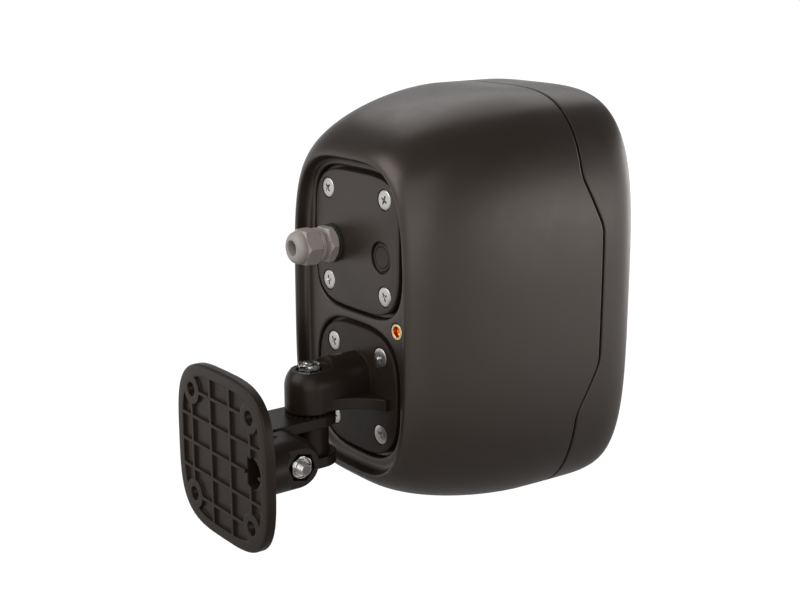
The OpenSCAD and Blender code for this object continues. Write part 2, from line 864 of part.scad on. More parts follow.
module rear_cabinet() {
    color("#46413d")
        in_cabinet()
            difference() {
                outer_shell();
                rear_cavity();
                ahead_of_seam(-seam_gap / 2);
                rear_recess();
                translate([0, cover_y, pocket_depth - eps])
                    linear_extrude(bay_d + eps) bay_outline(0);
                translate([0, cover_y, pocket_depth - eps])
                    square_of(cover_pitch)
                        cylinder(r = screw_r - thread_bite, h = screw_tip - pocket_depth + 2 * eps);
                translate([0, speaker_plate_y, plate_floor - eps])
                    square_of(plate_pitch)
                        cylinder(r = screw_r - thread_bite, h = screw_tip - plate_floor + 2 * eps);
                translate([-insert_x, insert_y, 0]) cylinder(r = insert_r, h = recess_d + insert_l);
                case_points() translate([0, 0, baffle_depth - case_screw_l])
                    cylinder(r = small_screw_r - thread_bite, h = case_screw_l);
            }
}

// Rubber cord that fills the seam behind its open groove
module cabinet_seal() {
    color("#1c1a19")
        in_cabinet()
            difference() {
                shell_loft(shell_depths(wall, cab_d - eps, 4), seam_groove);
                shell_loft(shell_depths(0, cab_d, 4), wall - 0.2);
                ahead_of_seam(seam_gap / 2);
                behind_seam(-seam_gap / 2);
            }
}

module behind_seam(shift) {
    difference() {
        translate([-cab_w, -cab_h, -cab_d]) cube([2 * cab_w, 2 * cab_h, 3 * cab_d]);
        ahead_of_seam(shift);
    }
}

module front_baffle() {
    color("#3f3b37")
        in_cabinet()
            difference() {
                union() {
                    intersection() {
                        difference() {
                            outer_shell();
                            shell_loft(shell_depths(wall, cab_d + 2 * wall, 6), wall);
                        }
                        ahead_of_seam(seam_gap / 2);
                    }
                    translate([0, 0, baffle_back])
                        linear_extrude(baffle_t)
                            squircle(cab_w - 2 * wall, cab_h - 2 * wall, cab_square);
                    grille_ledge();
                    intersection() {
                        case_points() case_boss();
                        ahead_of_seam(seam_gap / 2);
                    }
                }
                woofer_axis() cylinder(r = woofer_hole_r, h = 2 * cab_d);
                woofer_axis() woofer_screw_points(baffle_back - eps)
                    cylinder(r = small_screw_r - thread_bite, h = baffle_t + 2 * eps);
                tweeter_axis() cylinder(r = tweeter_magnet_r + 1, h = 2 * cab_d);
                tweeter_axis() tweeter_screw_points(baffle_back - eps)
                    cylinder(r = small_screw_r - thread_bite, h = baffle_t + 2 * eps);
                case_points() cylinder(r = small_screw_r + screw_gap, h = 2 * cab_d);
            }
}

// Stepped wall on the baffle: the outer step carries the grille, the inner one the cloth
module grille_ledge() {
    ledge_ring(-ledge_w / 2, 1.5, grille_t);
    ledge_ring(-ledge_w, 0.1 - ledge_w / 2, cloth_drop + cloth_t);
}

module ledge_ring(inner, outer, drop) {
    intersection() {
        translate([0, 0, baffle_depth - 0.1])
            linear_extrude(cab_d - baffle_depth + 12)
                difference() {
                    squircle(2 * (grille_a + outer), 2 * (grille_b + outer), cab_square);
                    squircle(2 * (grille_a + inner), 2 * (grille_b + inner), cab_square);
                }
        bowed_core(drop);
    }
}

// Everything at least drop behind the bowed face of the grille
module bowed_core(drop) {
    translate([0, cab_h, grille_top_depth - grille_bow_r])
        rotate([90, 0, 0]) cylinder(r = grille_bow_r - drop, h = 2 * cab_h, $fn = 360);
}

module woofer_axis() {
    translate([0, -woofer_drop, 0]) children();
}

module tweeter_axis() {
    translate([0, tweeter_rise, 0]) children();
}

module cabinet_screws() {
    color("#8b8986")
        in_cabinet()
            case_points()
                translate([0, 0, baffle_depth + small_head_t])
                    mirror([0, 0, 1])
                        machine_screw(small_screw_r, small_head_r, small_head_t, case_screw_l - 1);
}

// Bowed sheet that starts drop behind the face of the grille, cut to an outline
module bowed_sheet(drop, t, a, b) {
    intersection() {
        translate([0, 0, grille_top_depth - 12])
            linear_extrude(24) squircle(2 * a, 2 * b, cab_square);
        difference() {
            bowed_core(drop);
            bowed_core(drop + t);
        }
    }
}

function grille_rows() = floor((grille_b - grille_hole_r - 2) / (grille_pitch * sqrt(3) / 2));
function grille_columns() = floor(grille_a / grille_pitch);
function inside_grille(x, y) =
    let (a = grille_a - grille_hole_r - 2.5, b = grille_b - grille_hole_r - 2.5)
    pow(abs(x) / a, cab_square) + pow(abs(y) / b, cab_square) < 1;

module grille() {
    color("#2b2927")
        in_cabinet()
            difference() {
                bowed_sheet(0, grille_t, grille_a, grille_b);
                for (r = [-grille_rows() : grille_rows()],
                     c = [-grille_columns() : grille_columns()])
                    let (x = (c + (r % 2 == 0 ? 0 : 0.5)) * grille_pitch,
                         y = r * grille_pitch * sqrt(3) / 2)
                        if (inside_grille(x, y))
                            translate([x, y, cab_d - 14])
                                cylinder(r = grille_hole_r, h = 28, $fn = 24);
            }
}

module grille_cloth() {
    color("#151413")
        in_cabinet()
            bowed_sheet(cloth_drop, cloth_t, grille_a - cloth_edge, grille_b - cloth_edge);
}

module rear_cover() {
    color("#423e3a")
        in_cabinet()
            difference() {
                translate([0, cover_y, face_depth])
                    linear_extrude(cover_t) squircle(cover_w, cover_h, cover_square);
                translate([0, cover_y, face_depth - eps])
                    square_of(cover_pitch) screw_hole(cover_t);
                translate([gland_x, gland_y, 0])
                    cylinder(r = gland_r + screw_gap, h = pocket_depth);
                translate([-plug_x, cover_y - plug_drop, 0])
                    cylinder(r = plug_r, h = pocket_depth);
            }
}

module cover_gasket() {
    color("#1c1a19")
        in_cabinet()
            translate([0, cover_y, face_depth + cover_t])
                difference() {
                    linear_extrude(gasket_t)
                        difference() {
                            squircle(cover_w - 1, cover_h - 1, cover_square);
                            bay_outline(0);
                        }
                    translate([0, 0, -eps]) square_of(cover_pitch)
                        cylinder(r = screw_r + screw_gap, h = gasket_t + 2 * eps);
                }
}

// The gland is built outward along +z from the cover's outer face
module on_gland() {
    in_cabinet() translate([gland_x, gland_y, face_depth]) mirror([0, 0, 1]) children();
}

// Rubber washer that seals the body on the cover
module gland_washer() {
    color("#1c1a19")
        on_gland()
            tube(nut_corner(gland_af), gland_r + screw_gap, gland_washer_t);
}

module gland_body() {
    color("#9b928c")
        on_gland()
            difference() {
                union() {
                    translate([0, 0, gland_washer_t]) hexagon(gland_af, gland_flange_t);
                    translate([0, 0, -gland_tail])
                        cylinder(r = gland_r, h = gland_tail + cap_start + gland_cap_l - 1);
                    translate([0, 0, flange_end - eps])
                        cylinder(r = gland_neck_r, h = gland_neck_l + eps);
                }
                translate([0, 0, -gland_tail - eps])
                    cylinder(r = gland_hole_r + gland_bore_room, h = gland_tip + gland_tail);
                translate([0, 0, cap_start])
                    cylinder(r = gland_seal_r, h = gland_cap_l);
            }
}

module gland_cap() {
    color("#a39a94")
        on_gland()
            difference() {
                union() {
                    translate([0, 0, cap_start]) hexagon(gland_af, gland_cap_l);
                    translate([0, 0, collar_start])
                        cylinder(r = collar_r, h = gland_collar_l + 0.1);
                    translate([0, 0, cap_start + gland_cap_l - 0.1]) gland_nose();
                }
                translate([0, 0, collar_start - eps])
                    cylinder(r = gland_r - thread_bite,
                             h = gland_collar_l + gland_cap_l + eps - 0.6);
                cylinder(r = gland_hole_r, h = gland_tip + eps);
            }
}

// Round nose whose edge is a quarter circle
module gland_nose() {
    r = gland_af / 2 - 0.2;
    round = min(gland_nose_l, r - gland_hole_r) - 0.8;
    rotate_extrude()
        union() {
            square([r, gland_nose_l + 0.1 - round]);
            square([r - round, gland_nose_l + 0.1]);
            translate([r - round, gland_nose_l + 0.1 - round]) circle(r = round);
        }
}

module gland_seal() {
    color("#2a2826")
        on_gland()
            translate([0, 0, cap_start])
                tube(gland_seal_r, gland_hole_r, gland_cap_l - 0.6);
}

module gland_locknut() {
    color("#9b928c")
        on_gland()
            translate([0, 0, -cover_t - locknut_t])
                difference() {
                    hexagon(gland_af - 1, locknut_t);
                    translate([0, 0, -eps])
                        cylinder(r = gland_r - thread_bite, h = locknut_t + 2 * eps);
                }
}

// Plug with a rim groove on the outside and a lip behind the cover
module blanking_plug() {
    color("#34302d")
        in_cabinet()
            translate([-plug_x, cover_y - plug_drop, face_depth])
                difference() {
                    union() {
                        cylinder(r = plug_r - plug_step, h = cover_t);
                        translate([0, 0, plug_step_t]) cylinder(r = plug_r, h = cover_t - plug_step_t);
                        translate([0, 0, cover_t]) cylinder(r = plug_r + plug_lip, h = gasket_t);
                    }
                    translate([0, 0, -eps])
                        tube(plug_ring_r, plug_ring_r - plug_step, eps + plug_ring_d);
                }
}

module safety_insert() {
    color("#d9a441")
        in_cabinet()
            translate([-insert_x, insert_y, recess_d])
                tube(insert_r, insert_bore_r, insert_l);
}

module terminal_block() {
    color("#26313a")
        in_cabinet()
            translate([0, cover_y, bay_floor])
                mirror([0, 0, 1])
                    difference() {
                        translate([-2 * terminal_pitch, -terminal_h / 2, 0])
                            cube([4 * terminal_pitch, terminal_h, terminal_t]);
                        terminal_points() {
                            translate([0, 0, terminal_sunk])
                                cylinder(r = terminal_screw_r, h = terminal_t + 1);
                            translate([-wire_w / 2, -terminal_h / 2 - eps, terminal_sunk / 2])
                                cube([wire_w, wire_d, wire_h]);
                        }
                    }
}

module terminal_screws() {
    color("#c9c7c2")
        in_cabinet()
            translate([0, cover_y, bay_floor - terminal_sunk])
                mirror([0, 0, 1])
                    terminal_points() cylinder(r = terminal_screw_r, h = terminal_screw_l);
}

module terminal_points() {
    for (k = [-3, -1, 1, 3]) translate([k * terminal_pitch / 2, 0, 0]) children();
}

module crossover_board() {
    color("#2f5d3a")
        in_cabinet()
            translate([-board_w / 2, cover_y - board_h / 2, board_depth])
                cube([board_w, board_h, board_t]);
}

module crossover_choke() {
    color("#a5612f")
        in_cabinet()
            translate([-board_w / 2 + choke_r + 3, cover_y, board_depth + board_t])
                tube(choke_r, choke_r / 2, choke_l);
}

module crossover_capacitor() {
    color("#2c4f7c")
        in_cabinet()
            translate([0, cover_y - board_h / 2 + cap_r + 3, board_depth + board_t + cap_r])
                rotate([0, 90, 0]) cylinder(r = cap_r, h = cap_l);
}

module crossover_resistor() {
    color("#d8d2c4")
        in_cabinet()
            translate([2, cover_y + board_h / 2 - resistor_w - 4, board_depth + board_t])
                cube([resistor_l, resistor_w, resistor_w]);
}

// Pressed basket: flange, windowed cone and a seat for the top plate
module woofer_basket() {
    color("#3a3b3d")
        in_cabinet()
            woofer_axis()
                difference() {
                    rotate_extrude()
                        polygon([[woofer_hole_r - 3, flange_front],
                                 [woofer_r, flange_front],
                                 [woofer_r, baffle_depth],
                                 [woofer_hole_r - 1, baffle_depth],
                                 [basket_seat_r, basket_back + basket_wall],
                                 [basket_seat_r, basket_back],
                                 [coil_r + coil_gap + 1, basket_back],
                                 [coil_r + coil_gap + 1, basket_back + basket_wall],
                                 [basket_seat_r - basket_wall, basket_back + basket_wall],
                                 [woofer_hole_r - 3, baffle_depth - 1]]);
                    for (k = [0 : 3])
                        rotate([0, 0, 90 * k])
                            translate([basket_seat_r - 6, -12, basket_back + 5])
                                cube([20, 24, basket_d - 11]);
                    woofer_screw_points(baffle_depth - eps)
                        cylinder(r = small_screw_r + screw_gap, h = 10);
                }
}

module woofer_screw_points(depth) {
    for (k = [0 : 3])
        rotate([0, 0, 45 + 90 * k]) translate([woofer_r - 4, 0, depth]) children();
}

module tweeter_screw_points(depth) {
    for (k = [0 : 2])
        rotate([0, 0, 90 + 120 * k]) translate([tweeter_r - 4, 0, depth]) children();
}

module woofer_top_plate() {
    color("#8e8f92")
        in_cabinet()
            woofer_axis()
                translate([0, 0, top_plate_back])
                    tube(magnet_r - 3, coil_r + coil_gap, pole_t);
}

module woofer_magnet() {
    color("#2d2d2f")
        in_cabinet()
            woofer_axis()
                translate([0, 0, magnet_back]) tube(magnet_r, coil_r + 4, magnet_t);
}

module woofer_yoke() {
    color("#8e8f92")
        in_cabinet()
            woofer_axis()
                union() {
                    translate([0, 0, yoke_back]) cylinder(r = magnet_r - 3, h = pole_t);
                    translate([0, 0, yoke_back])
                        cylinder(r = pole_r, h = basket_back - yoke_back);
                }
}

// Paper cone with its dust cap and the coil former behind it
module woofer_cone() {
    color("#1d1b1a")
        in_cabinet()
            woofer_axis()
                union() {
                    rotate_extrude()
                        polygon([[coil_r - coil_wall, cone_neck_depth],
                                 [coil_r, cone_neck_depth],
                                 [cone_r, flange_front - 1],
                                 [cone_r, flange_front],
                                 [cone_r - 2, flange_front],
                                 [coil_r - coil_wall, cone_neck_depth + cone_t + 0.6]]);
                    translate([0, 0, top_plate_back])
                        tube(coil_r, coil_r - coil_wall, cone_neck_depth - top_plate_back + 0.5);
                    dust_cap();
                }
}

// Shallow spherical cap that closes the cone's middle
module dust_cap() {
    cap_base_r = coil_r + 3;
    cap_ball_r = 22;
    cap_z = cone_neck_depth + 3;
    ball_z = cap_z - sqrt(pow(cap_ball_r, 2) - pow(cap_base_r, 2));
    intersection() {
        translate([0, 0, cap_z]) cylinder(r = cap_base_r, h = 10);
        difference() {
            translate([0, 0, ball_z]) sphere(r = cap_ball_r);
            translate([0, 0, ball_z]) sphere(r = cap_ball_r - 0.8);
        }
    }
}

// Half roll between the cone and the flange
module woofer_surround() {
    color("#141312")
        in_cabinet()
            woofer_axis()
                translate([0, 0, flange_front])
                    rotate_extrude()
                        translate([cone_r + surround_w / 2, 0])
                            intersection() {
                                difference() {
                                    circle(r = surround_w / 2 + 0.6);
                                    circle(r = surround_w / 2 - 0.3);
                                }
                                translate([-surround_w, 0]) square([2 * surround_w, surround_w]);
                            }
}

module woofer_spider() {
    color("#b08a4a")
        in_cabinet()
            woofer_axis()
                translate([0, 0, basket_back + basket_wall])
                    tube(basket_seat_r - spider_ledge, coil_r, spider_t);
}

module woofer_screws() {
    color("#8b8986")
        in_cabinet()
            woofer_axis()
                woofer_screw_points(flange_front + small_head_t)
                    mirror([0, 0, 1])
                        machine_screw(small_screw_r, small_head_r, small_head_t,
                                      woofer_flange_t + baffle_t - 1);
}

module tweeter_plate() {
    color("#1f1e1d")
        in_cabinet()
            tweeter_axis()
                translate([0, 0, baffle_depth])
                    difference() {
                        cylinder(r = tweeter_r, h = tweeter_plate_t);
                        translate([0, 0, 0.8])
                            cylinder(r1 = dome_r + 0.4, r2 = dome_r + 4, h = tweeter_plate_t);
                        translate([0, 0, -eps]) cylinder(r = dome_r - 1, h = 4);
                        tweeter_screw_points(-eps) cylinder(r = small_screw_r + screw_gap, h = 8);
                    }
}

// Soft dome: a spherical cap with its flat edge ring
module tweeter_dome() {
    ball_r = dome_r * 1.25;
    ball_z = -sqrt(pow(ball_r, 2) - pow(dome_r - 1.5, 2));
    color("#2a2826")
        in_cabinet()
            tweeter_axis()
                translate([0, 0, baffle_depth + 0.8])
                    union() {
                        tube(dome_r, dome_r - 2.2, 0.6);
                        intersection() {
                            cylinder(r = dome_r - 1, h = 12);
                            difference() {
                                translate([0, 0, ball_z]) sphere(r = ball_r);
                                translate([0, 0, ball_z]) sphere(r = ball_r - 0.6);
                            }
                        }
                    }
}

module tweeter_magnet() {
    color("#6d6e71")
        in_cabinet()
            tweeter_axis()
                translate([0, 0, baffle_depth - tweeter_magnet_l])
                    cylinder(r = tweeter_magnet_r, h = tweeter_magnet_l);
}

module tweeter_screws() {
    color("#8b8986")
        in_cabinet()
            tweeter_axis()
                tweeter_screw_points(baffle_depth + tweeter_plate_t + small_head_t)
                    mirror([0, 0, 1])
                        machine_screw(small_screw_r, small_head_r, small_head_t,
                                      tweeter_plate_t + baffle_t - 1);
}

module damping_pad() {
    color("#c8c4ba")
        in_cabinet()
            translate([-pad_w / 2, speaker_plate_y - pad_h / 2, boss_end])
                cube([pad_w, pad_h, pad_t]);
}

wall_plate();
tilt_bolt();
tilt_nut();
link_arm();
pan_bolt();
pan_nut();
speaker_plate();
plate_screws();
rear_cabinet();
cabinet_seal();
front_baffle();
cabinet_screws();
grille();
grille_cloth();
rear_cover();
cover_gasket();
cover_screws();
gland_washer();
gland_body();
gland_cap();
gland_seal();
gland_locknut();
blanking_plug();
safety_insert();
terminal_block();
terminal_screws();
crossover_board();
crossover_choke();
crossover_capacitor();
crossover_resistor();
woofer_basket();
woofer_top_plate();
woofer_magnet();
woofer_yoke();
woofer_cone();
woofer_surround();
woofer_spider();
woofer_screws();
tweeter_plate();
tweeter_dome();
tweeter_magnet();
tweeter_screws();
damping_pad();
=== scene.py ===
"""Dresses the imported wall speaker: finer mouldings, fastener detail, finishes, light and camera."""

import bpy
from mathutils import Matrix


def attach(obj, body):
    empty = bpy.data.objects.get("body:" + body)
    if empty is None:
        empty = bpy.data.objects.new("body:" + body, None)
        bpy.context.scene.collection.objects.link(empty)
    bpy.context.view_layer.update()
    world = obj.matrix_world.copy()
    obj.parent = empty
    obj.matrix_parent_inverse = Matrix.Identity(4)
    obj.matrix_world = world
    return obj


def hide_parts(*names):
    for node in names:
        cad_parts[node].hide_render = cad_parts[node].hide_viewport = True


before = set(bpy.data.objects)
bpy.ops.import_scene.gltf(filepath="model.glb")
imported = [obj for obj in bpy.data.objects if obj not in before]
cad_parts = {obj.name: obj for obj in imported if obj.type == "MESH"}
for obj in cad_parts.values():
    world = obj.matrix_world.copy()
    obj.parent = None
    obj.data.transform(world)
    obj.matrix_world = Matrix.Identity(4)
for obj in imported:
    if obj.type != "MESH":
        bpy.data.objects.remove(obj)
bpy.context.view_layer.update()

import logging
import math
from dataclasses import dataclass, field
from enum import Enum
from typing import Iterable, Sequence

import bmesh
import bpy
from mathutils import Matrix, Vector

log = logging.getLogger("wall_speaker")
MM = 0.001
MERGE = 0.004 * MM
FINE_MERGE = 0.001 * MM
WHITE = (1.0, 1.0, 1.0, 1.0)
Colour = tuple[float, float, float]
Spot = tuple[float, float]


# Shader graphs


class Signal:
    """A number that varies over a surface, written in expressions like a Python number."""

    def __init__(self, graph: "Graph", socket: bpy.types.NodeSocket) -> None:
        """Wraps one output socket of a graph.

        Args:
            graph: The graph that the socket belongs to.
            socket: The output socket that carries the number.
        """
        self.graph = graph
        self.socket = socket

    def _with(self, operation: str, first: object, second: object) -> "Signal":
        """Adds one Math node and returns its value."""
        made = self.graph.node("ShaderNodeMath", {"operation": operation}, {0: first, 1: second})
        return Signal(self.graph, made.outputs[0])

    def __add__(self, other: object) -> "Signal":
        """Sum of two signals."""
        return self._with("ADD", self, other)

    def __radd__(self, other: object) -> "Signal":
        """Sum with a plain number on the left."""
        return self._with("ADD", other, self)

    def __sub__(self, other: object) -> "Signal":
        """Difference of two signals."""
        return self._with("SUBTRACT", self, other)

    def __rsub__(self, other: object) -> "Signal":
        """Difference from a plain number."""
        return self._with("SUBTRACT", other, self)

    def __mul__(self, other: object) -> "Signal":
        """Product of two signals."""
        return self._with("MULTIPLY", self, other)

    def __rmul__(self, other: object) -> "Signal":
        """Product with a plain number on the left."""
        return self._with("MULTIPLY", other, self)

    def sine(self) -> "Signal":
        """Sine of the signal."""
        made = self.graph.node("ShaderNodeMath", {"operation": "SINE"}, {0: self})
        return Signal(self.graph, made.outputs[0])

    def clamped(self) -> "Signal":
        """The signal held between 0 and 1."""
        return Signal(self.graph, self.graph.node("ShaderNodeClamp", {}, {0: self}).outputs[0])


class Graph:
    """The node tree of one material, with its Principled shader and Object coordinates."""

    def __init__(self, name: str) -> None:
        """Makes the material and its shader.

        Args:
            name: The material's name.
        """
        self.material = bpy.data.materials.new(name)
        self.material.use_nodes = True
        self.start(self.material.node_tree)
        self.shader = self.node("ShaderNodeBsdfPrincipled")
        self.output = self.node("ShaderNodeOutputMaterial", {}, {"Surface": self.shader.outputs[0]})

    @classmethod
    def on(cls, tree: bpy.types.NodeTree) -> "Graph":
        """A graph on a tree that needs no Principled shader, such as a world's.

        Args:
            tree: The node tree.

        Returns:
            The graph.
        """
        graph = cls.__new__(cls)
        graph.start(tree)
        return graph

    def start(self, tree: bpy.types.NodeTree) -> None:
        """Empties a tree and adds its coordinates.

        Args:
            tree: The node tree.
        """
        self.tree = tree
        self.tree.nodes.clear()
        self.place = self.node("ShaderNodeTexCoord").outputs["Object"]

    def node(
        self, kind: str, settings: dict | None = None, inputs: dict | None = None
    ) -> bpy.types.Node:
        """Makes one node.

        Args:
            kind: The node's type.
            settings: Properties to set first. A ramp's stops are given as "stops".
            inputs: Values, sockets or signals for its input sockets, by name or number.

        Returns:
            The new node.
        """
        made = self.tree.nodes.new(kind)
        for key, value in (settings or {}).items():
            if key == "stops":
                ramp = made.color_ramp
                while len(ramp.elements) < len(value):
                    ramp.elements.new(0.5)
                for element, (position, colour) in zip(ramp.elements, value):
                    element.position = position
                    element.color = colour
            else:
                setattr(made, key, value)
        for key, value in (inputs or {}).items():
            self.plug(made.inputs[key], value)
        return made

    def plug(self, socket: bpy.types.NodeSocket, value: object) -> None:
        """Links or sets one input socket.

        Args:
            socket: The input socket.
            value: A signal or an output socket to link, or a value to set.
        """
        if isinstance(value, Signal):
            value = value.socket
        if isinstance(value, bpy.types.NodeSocket):
            self.tree.links.new(value, socket)
        else:
            socket.default_value = value

    def feed(self, name: str, value: object) -> None:
        """Links or sets one socket of the shader."""
        self.plug(self.shader.inputs[name], value)

    def noise(self, size_mm: float, detail: float = 3.0, roughness: float = 0.5) -> Signal:
        """A soft random pattern.

        Args:
            size_mm: Width of its largest features.
            detail: Number of finer layers.
            roughness: Strength of the finer layers.

        Returns:
            The pattern, about 0.3 to 0.7.
        """
        made = self.node(
            "ShaderNodeTexNoise",
            {"noise_dimensions": "3D"},
            {
                "Vector": self.place,
                "Scale": 1.0 / (size_mm * MM),
                "Detail": detail,
                "Roughness": roughness,
            },
        )
        return Signal(self, made.outputs[0])

    def cells(self, size_mm: float) -> Signal:
        """Distance to the nearest of many scattered points, for pebbled surfaces.

        Args:
            size_mm: Distance between the points.

        Returns:
            The distance.
        """
        made = self.node(
            "ShaderNodeTexVoronoi",
            {"feature": "F1"},
            {"Vector": self.place, "Scale": 1.0 / (size_mm * MM)},
        )
        return Signal(self, made.outputs["Distance"])

    def coordinate(self, axis: int) -> Signal:
        """One coordinate of the surface point, in metres."""
        split = self.node("ShaderNodeSeparateXYZ", {}, {0: self.place})
        return Signal(self, split.outputs[axis])

    def rays(self) -> tuple[Signal, Signal]:
        """Whether a ray comes straight from the camera, and whether metal or glass sent it.

        Returns:
            Both signals, 0 or 1.
        """
        path = self.node("ShaderNodeLightPath").outputs
        mirrored = Signal(self, path["Is Glossy Ray"]) + Signal(self, path["Is Transmission Ray"])
        return Signal(self, path["Is Camera Ray"]), mirrored

    def wave(self, axis: int, length_mm: float) -> Signal:
        """A sine wave along one axis, from -1 to 1."""
        return (self.coordinate(axis) * (2.0 * math.pi / (length_mm * MM))).sine()

    def blend(self, mask: object, low: Colour, high: Colour) -> bpy.types.NodeSocket:
        """Mixes two colours by a mask and returns the colour socket.

        Args:
            mask: How much of the second colour shows.
            low: The first colour.
            high: The second colour.

        Returns:
            The mixed colour.
        """
        made = self.node(
            "ShaderNodeMix",
            {"data_type": "RGBA"},
            {0: mask, 6: (*low, 1.0), 7: (*high, 1.0)},
        )
        return made.outputs[2]

    def relief(self, height: Signal | None, depth_mm: float, rounding_mm: float) -> None:
        """Gives the surface a fine relief and soft edges.

        Args:
            height: The pattern that is raised, or None for rounded edges alone.
            depth_mm: Depth of the relief.
            rounding_mm: Radius by which sharp edges are softened.
        """
        soft = self.node("ShaderNodeBevel", {"samples": 4}, {"Radius": rounding_mm * MM})
        if height is None:
            self.feed("Normal", soft.outputs[0])
            return
        bump = self.node(
            "ShaderNodeBump",
            {},
            {
                "Strength": 1.0,
                "Distance": depth_mm * MM,
                "Height": height,
                "Normal": soft.outputs[0],
            },
        )
        self.feed("Normal", bump.outputs[0])


# Finishes


@dataclass(frozen=True)
class Finish:
    """A surface finish that can make its own material.

    Attributes:
        colour: Main colour, linear.
    """

    colour: Colour

    def paint(self, graph: Graph) -> None:
        """Fills a graph with this finish."""
        graph.feed("Base Color", (*self.colour, 1.0))

    def material(self, name: str) -> bpy.types.Material:
        """Makes the material of this finish.

        Args:
            name: The material's name.

        Returns:
            The material.
        """
        graph = Graph(name)
        self.paint(graph)
        graph.material.diffuse_color = (*self.colour, 1.0)
        return graph.material


@dataclass(frozen=True)
class MouldedPlastic(Finish):
    """Injection-moulded plastic with a spark-eroded grain.

    Attributes:
        roughness: Roughness of the surface between its grain.
        grain_mm: Width of the grain.
        grain_depth_mm: Depth of the grain.
        rounding_mm: Radius of its moulded edges.
        specular: Strength of its reflection.
    """

    roughness: float = 0.5
    grain_mm: float = 0.45
    grain_depth_mm: float = 0.02
    rounding_mm: float = 0.5
    specular: float = 0.3

    def paint(self, graph: Graph) -> None:
        """Grain and faint handling marks.

        Args:
            graph: The material's graph.
        """
        low = tuple(0.88 * c for c in self.colour)
        high = tuple(1.14 * c for c in self.colour)
        patches = graph.noise(38.0, 4.0, 0.6)
        speckle = graph.noise(self.grain_mm * 1.6, 2.0, 0.6)
        graph.feed("Base Color", graph.blend(patches * 0.55 + speckle * 0.45, low, high))
        rub = graph.noise(14.0, 5.0, 0.65)
        graph.feed("Roughness", self.roughness + (rub - 0.5) * 0.16 + (speckle - 0.5) * 0.12)
        graph.feed("Specular IOR Level", self.specular)
        graph.feed("Specular Tint", (1.0, 0.9, 0.83, 1.0))
        grain = graph.noise(self.grain_mm, 3.0, 0.7)
        graph.relief(grain, self.grain_depth_mm, self.rounding_mm)


@dataclass(frozen=True)
class PlatedSteel(Finish):
    """Zinc-plated steel with a fine drawn or turned surface.

    Attributes:
        roughness: Middle roughness of the plating.
        rounding_mm: Radius of its worn edges.
    """

    roughness: float = 0.28
    rounding_mm: float = 0.12

    def paint(self, graph: Graph) -> None:
        """Clouded plating and fine scratches.

        Args:
            graph: The material's graph.
        """
        cloud = graph.noise(3.2, 4.0, 0.6)
        low = tuple(0.72 * c for c in self.colour)
        graph.feed("Base Color", graph.blend(cloud * 1.3 - 0.15, low, self.colour))
        graph.feed("Metallic", 1.0)
        scratch = graph.noise(0.35, 2.0, 0.5)
        graph.feed("Roughness", self.roughness + (cloud - 0.5) * 0.22 + (scratch - 0.5) * 0.18)
        graph.relief(scratch, 0.006, self.rounding_mm)


@dataclass(frozen=True)
class TurnedBrass(Finish):
    """Turned brass, slightly tarnished."""

    def paint(self, graph: Graph) -> None:
        """Tarnish in patches over fine turning marks.

        Args:
            graph: The material's graph.
        """
        tarnish = graph.noise(2.4, 4.0, 0.6)
        dark = (0.62 * self.colour[0], 0.45 * self.colour[1], 0.3 * self.colour[2])
        graph.feed("Base Color", graph.blend(tarnish * 1.4 - 0.2, dark, self.colour))
        graph.feed("Metallic", 1.0)
        turned = graph.noise(0.22, 1.0, 0.5)
        graph.feed("Roughness", 0.26 + (tarnish - 0.5) * 0.3 + (turned - 0.5) * 0.15)
        graph.relief(turned, 0.006, 0.15)


@dataclass(frozen=True)
class PowderCoat(Finish):
    """Powder-coated sheet with an orange-peel surface.

    Attributes:
        roughness: Middle roughness of the coat.
    """

    roughness: float = 0.48

    def paint(self, graph: Graph) -> None:
        """Orange peel and a faint change of tone.

        Args:
            graph: The material's graph.
        """
        tone = graph.noise(24.0, 3.0, 0.5)
        low = tuple(0.85 * c for c in self.colour)
        high = tuple(1.15 * c for c in self.colour)
        graph.feed("Base Color", graph.blend(tone, low, high))
        peel = graph.noise(0.7, 2.0, 0.5)
        graph.feed("Roughness", self.roughness + (peel - 0.5) * 0.2)
        graph.feed("Specular IOR Level", 0.35)
        graph.relief(peel, 0.025, 0.15)


@dataclass(frozen=True)
class WovenCloth(Finish):
    """Plain woven or pleated technical cloth.

    Attributes:
        thread_mm: Distance between threads.
    """

    thread_mm: float = 0.5

    def paint(self, graph: Graph) -> None:
        """Two crossed sets of threads with slubs.

        Args:
            graph: The material's graph.
        """
        weave = graph.wave(0, self.thread_mm) * graph.wave(2, self.thread_mm) * 0.5 + 0.5
        slub = graph.noise(2.5, 3.0, 0.6)
        low = tuple(0.6 * c for c in self.colour)
        graph.feed("Base Color", graph.blend(weave * 0.6 + slub * 0.4, low, self.colour))
        graph.feed("Roughness", 0.85 + (slub - 0.5) * 0.15)
        graph.feed("Specular IOR Level", 0.2)
        graph.relief(weave, 0.12, 0.1)


@dataclass(frozen=True)
class SoftRubber(Finish):
    """Moulded rubber with a dusty bloom."""

    def paint(self, graph: Graph) -> None:
        """Bloom in patches over a dull surface.

        Args:
            graph: The material's graph.
        """
        bloom = graph.noise(9.0, 4.0, 0.6)
        pale = tuple(1.6 * c + 0.006 for c in self.colour)
        graph.feed("Base Color", graph.blend(bloom * 1.2 - 0.3, self.colour, pale))
        graph.feed("Roughness", 0.72 + (bloom - 0.5) * 0.25)
        graph.feed("Specular IOR Level", 0.3)
        graph.relief(graph.noise(0.5, 2.0, 0.5), 0.015, 0.3)


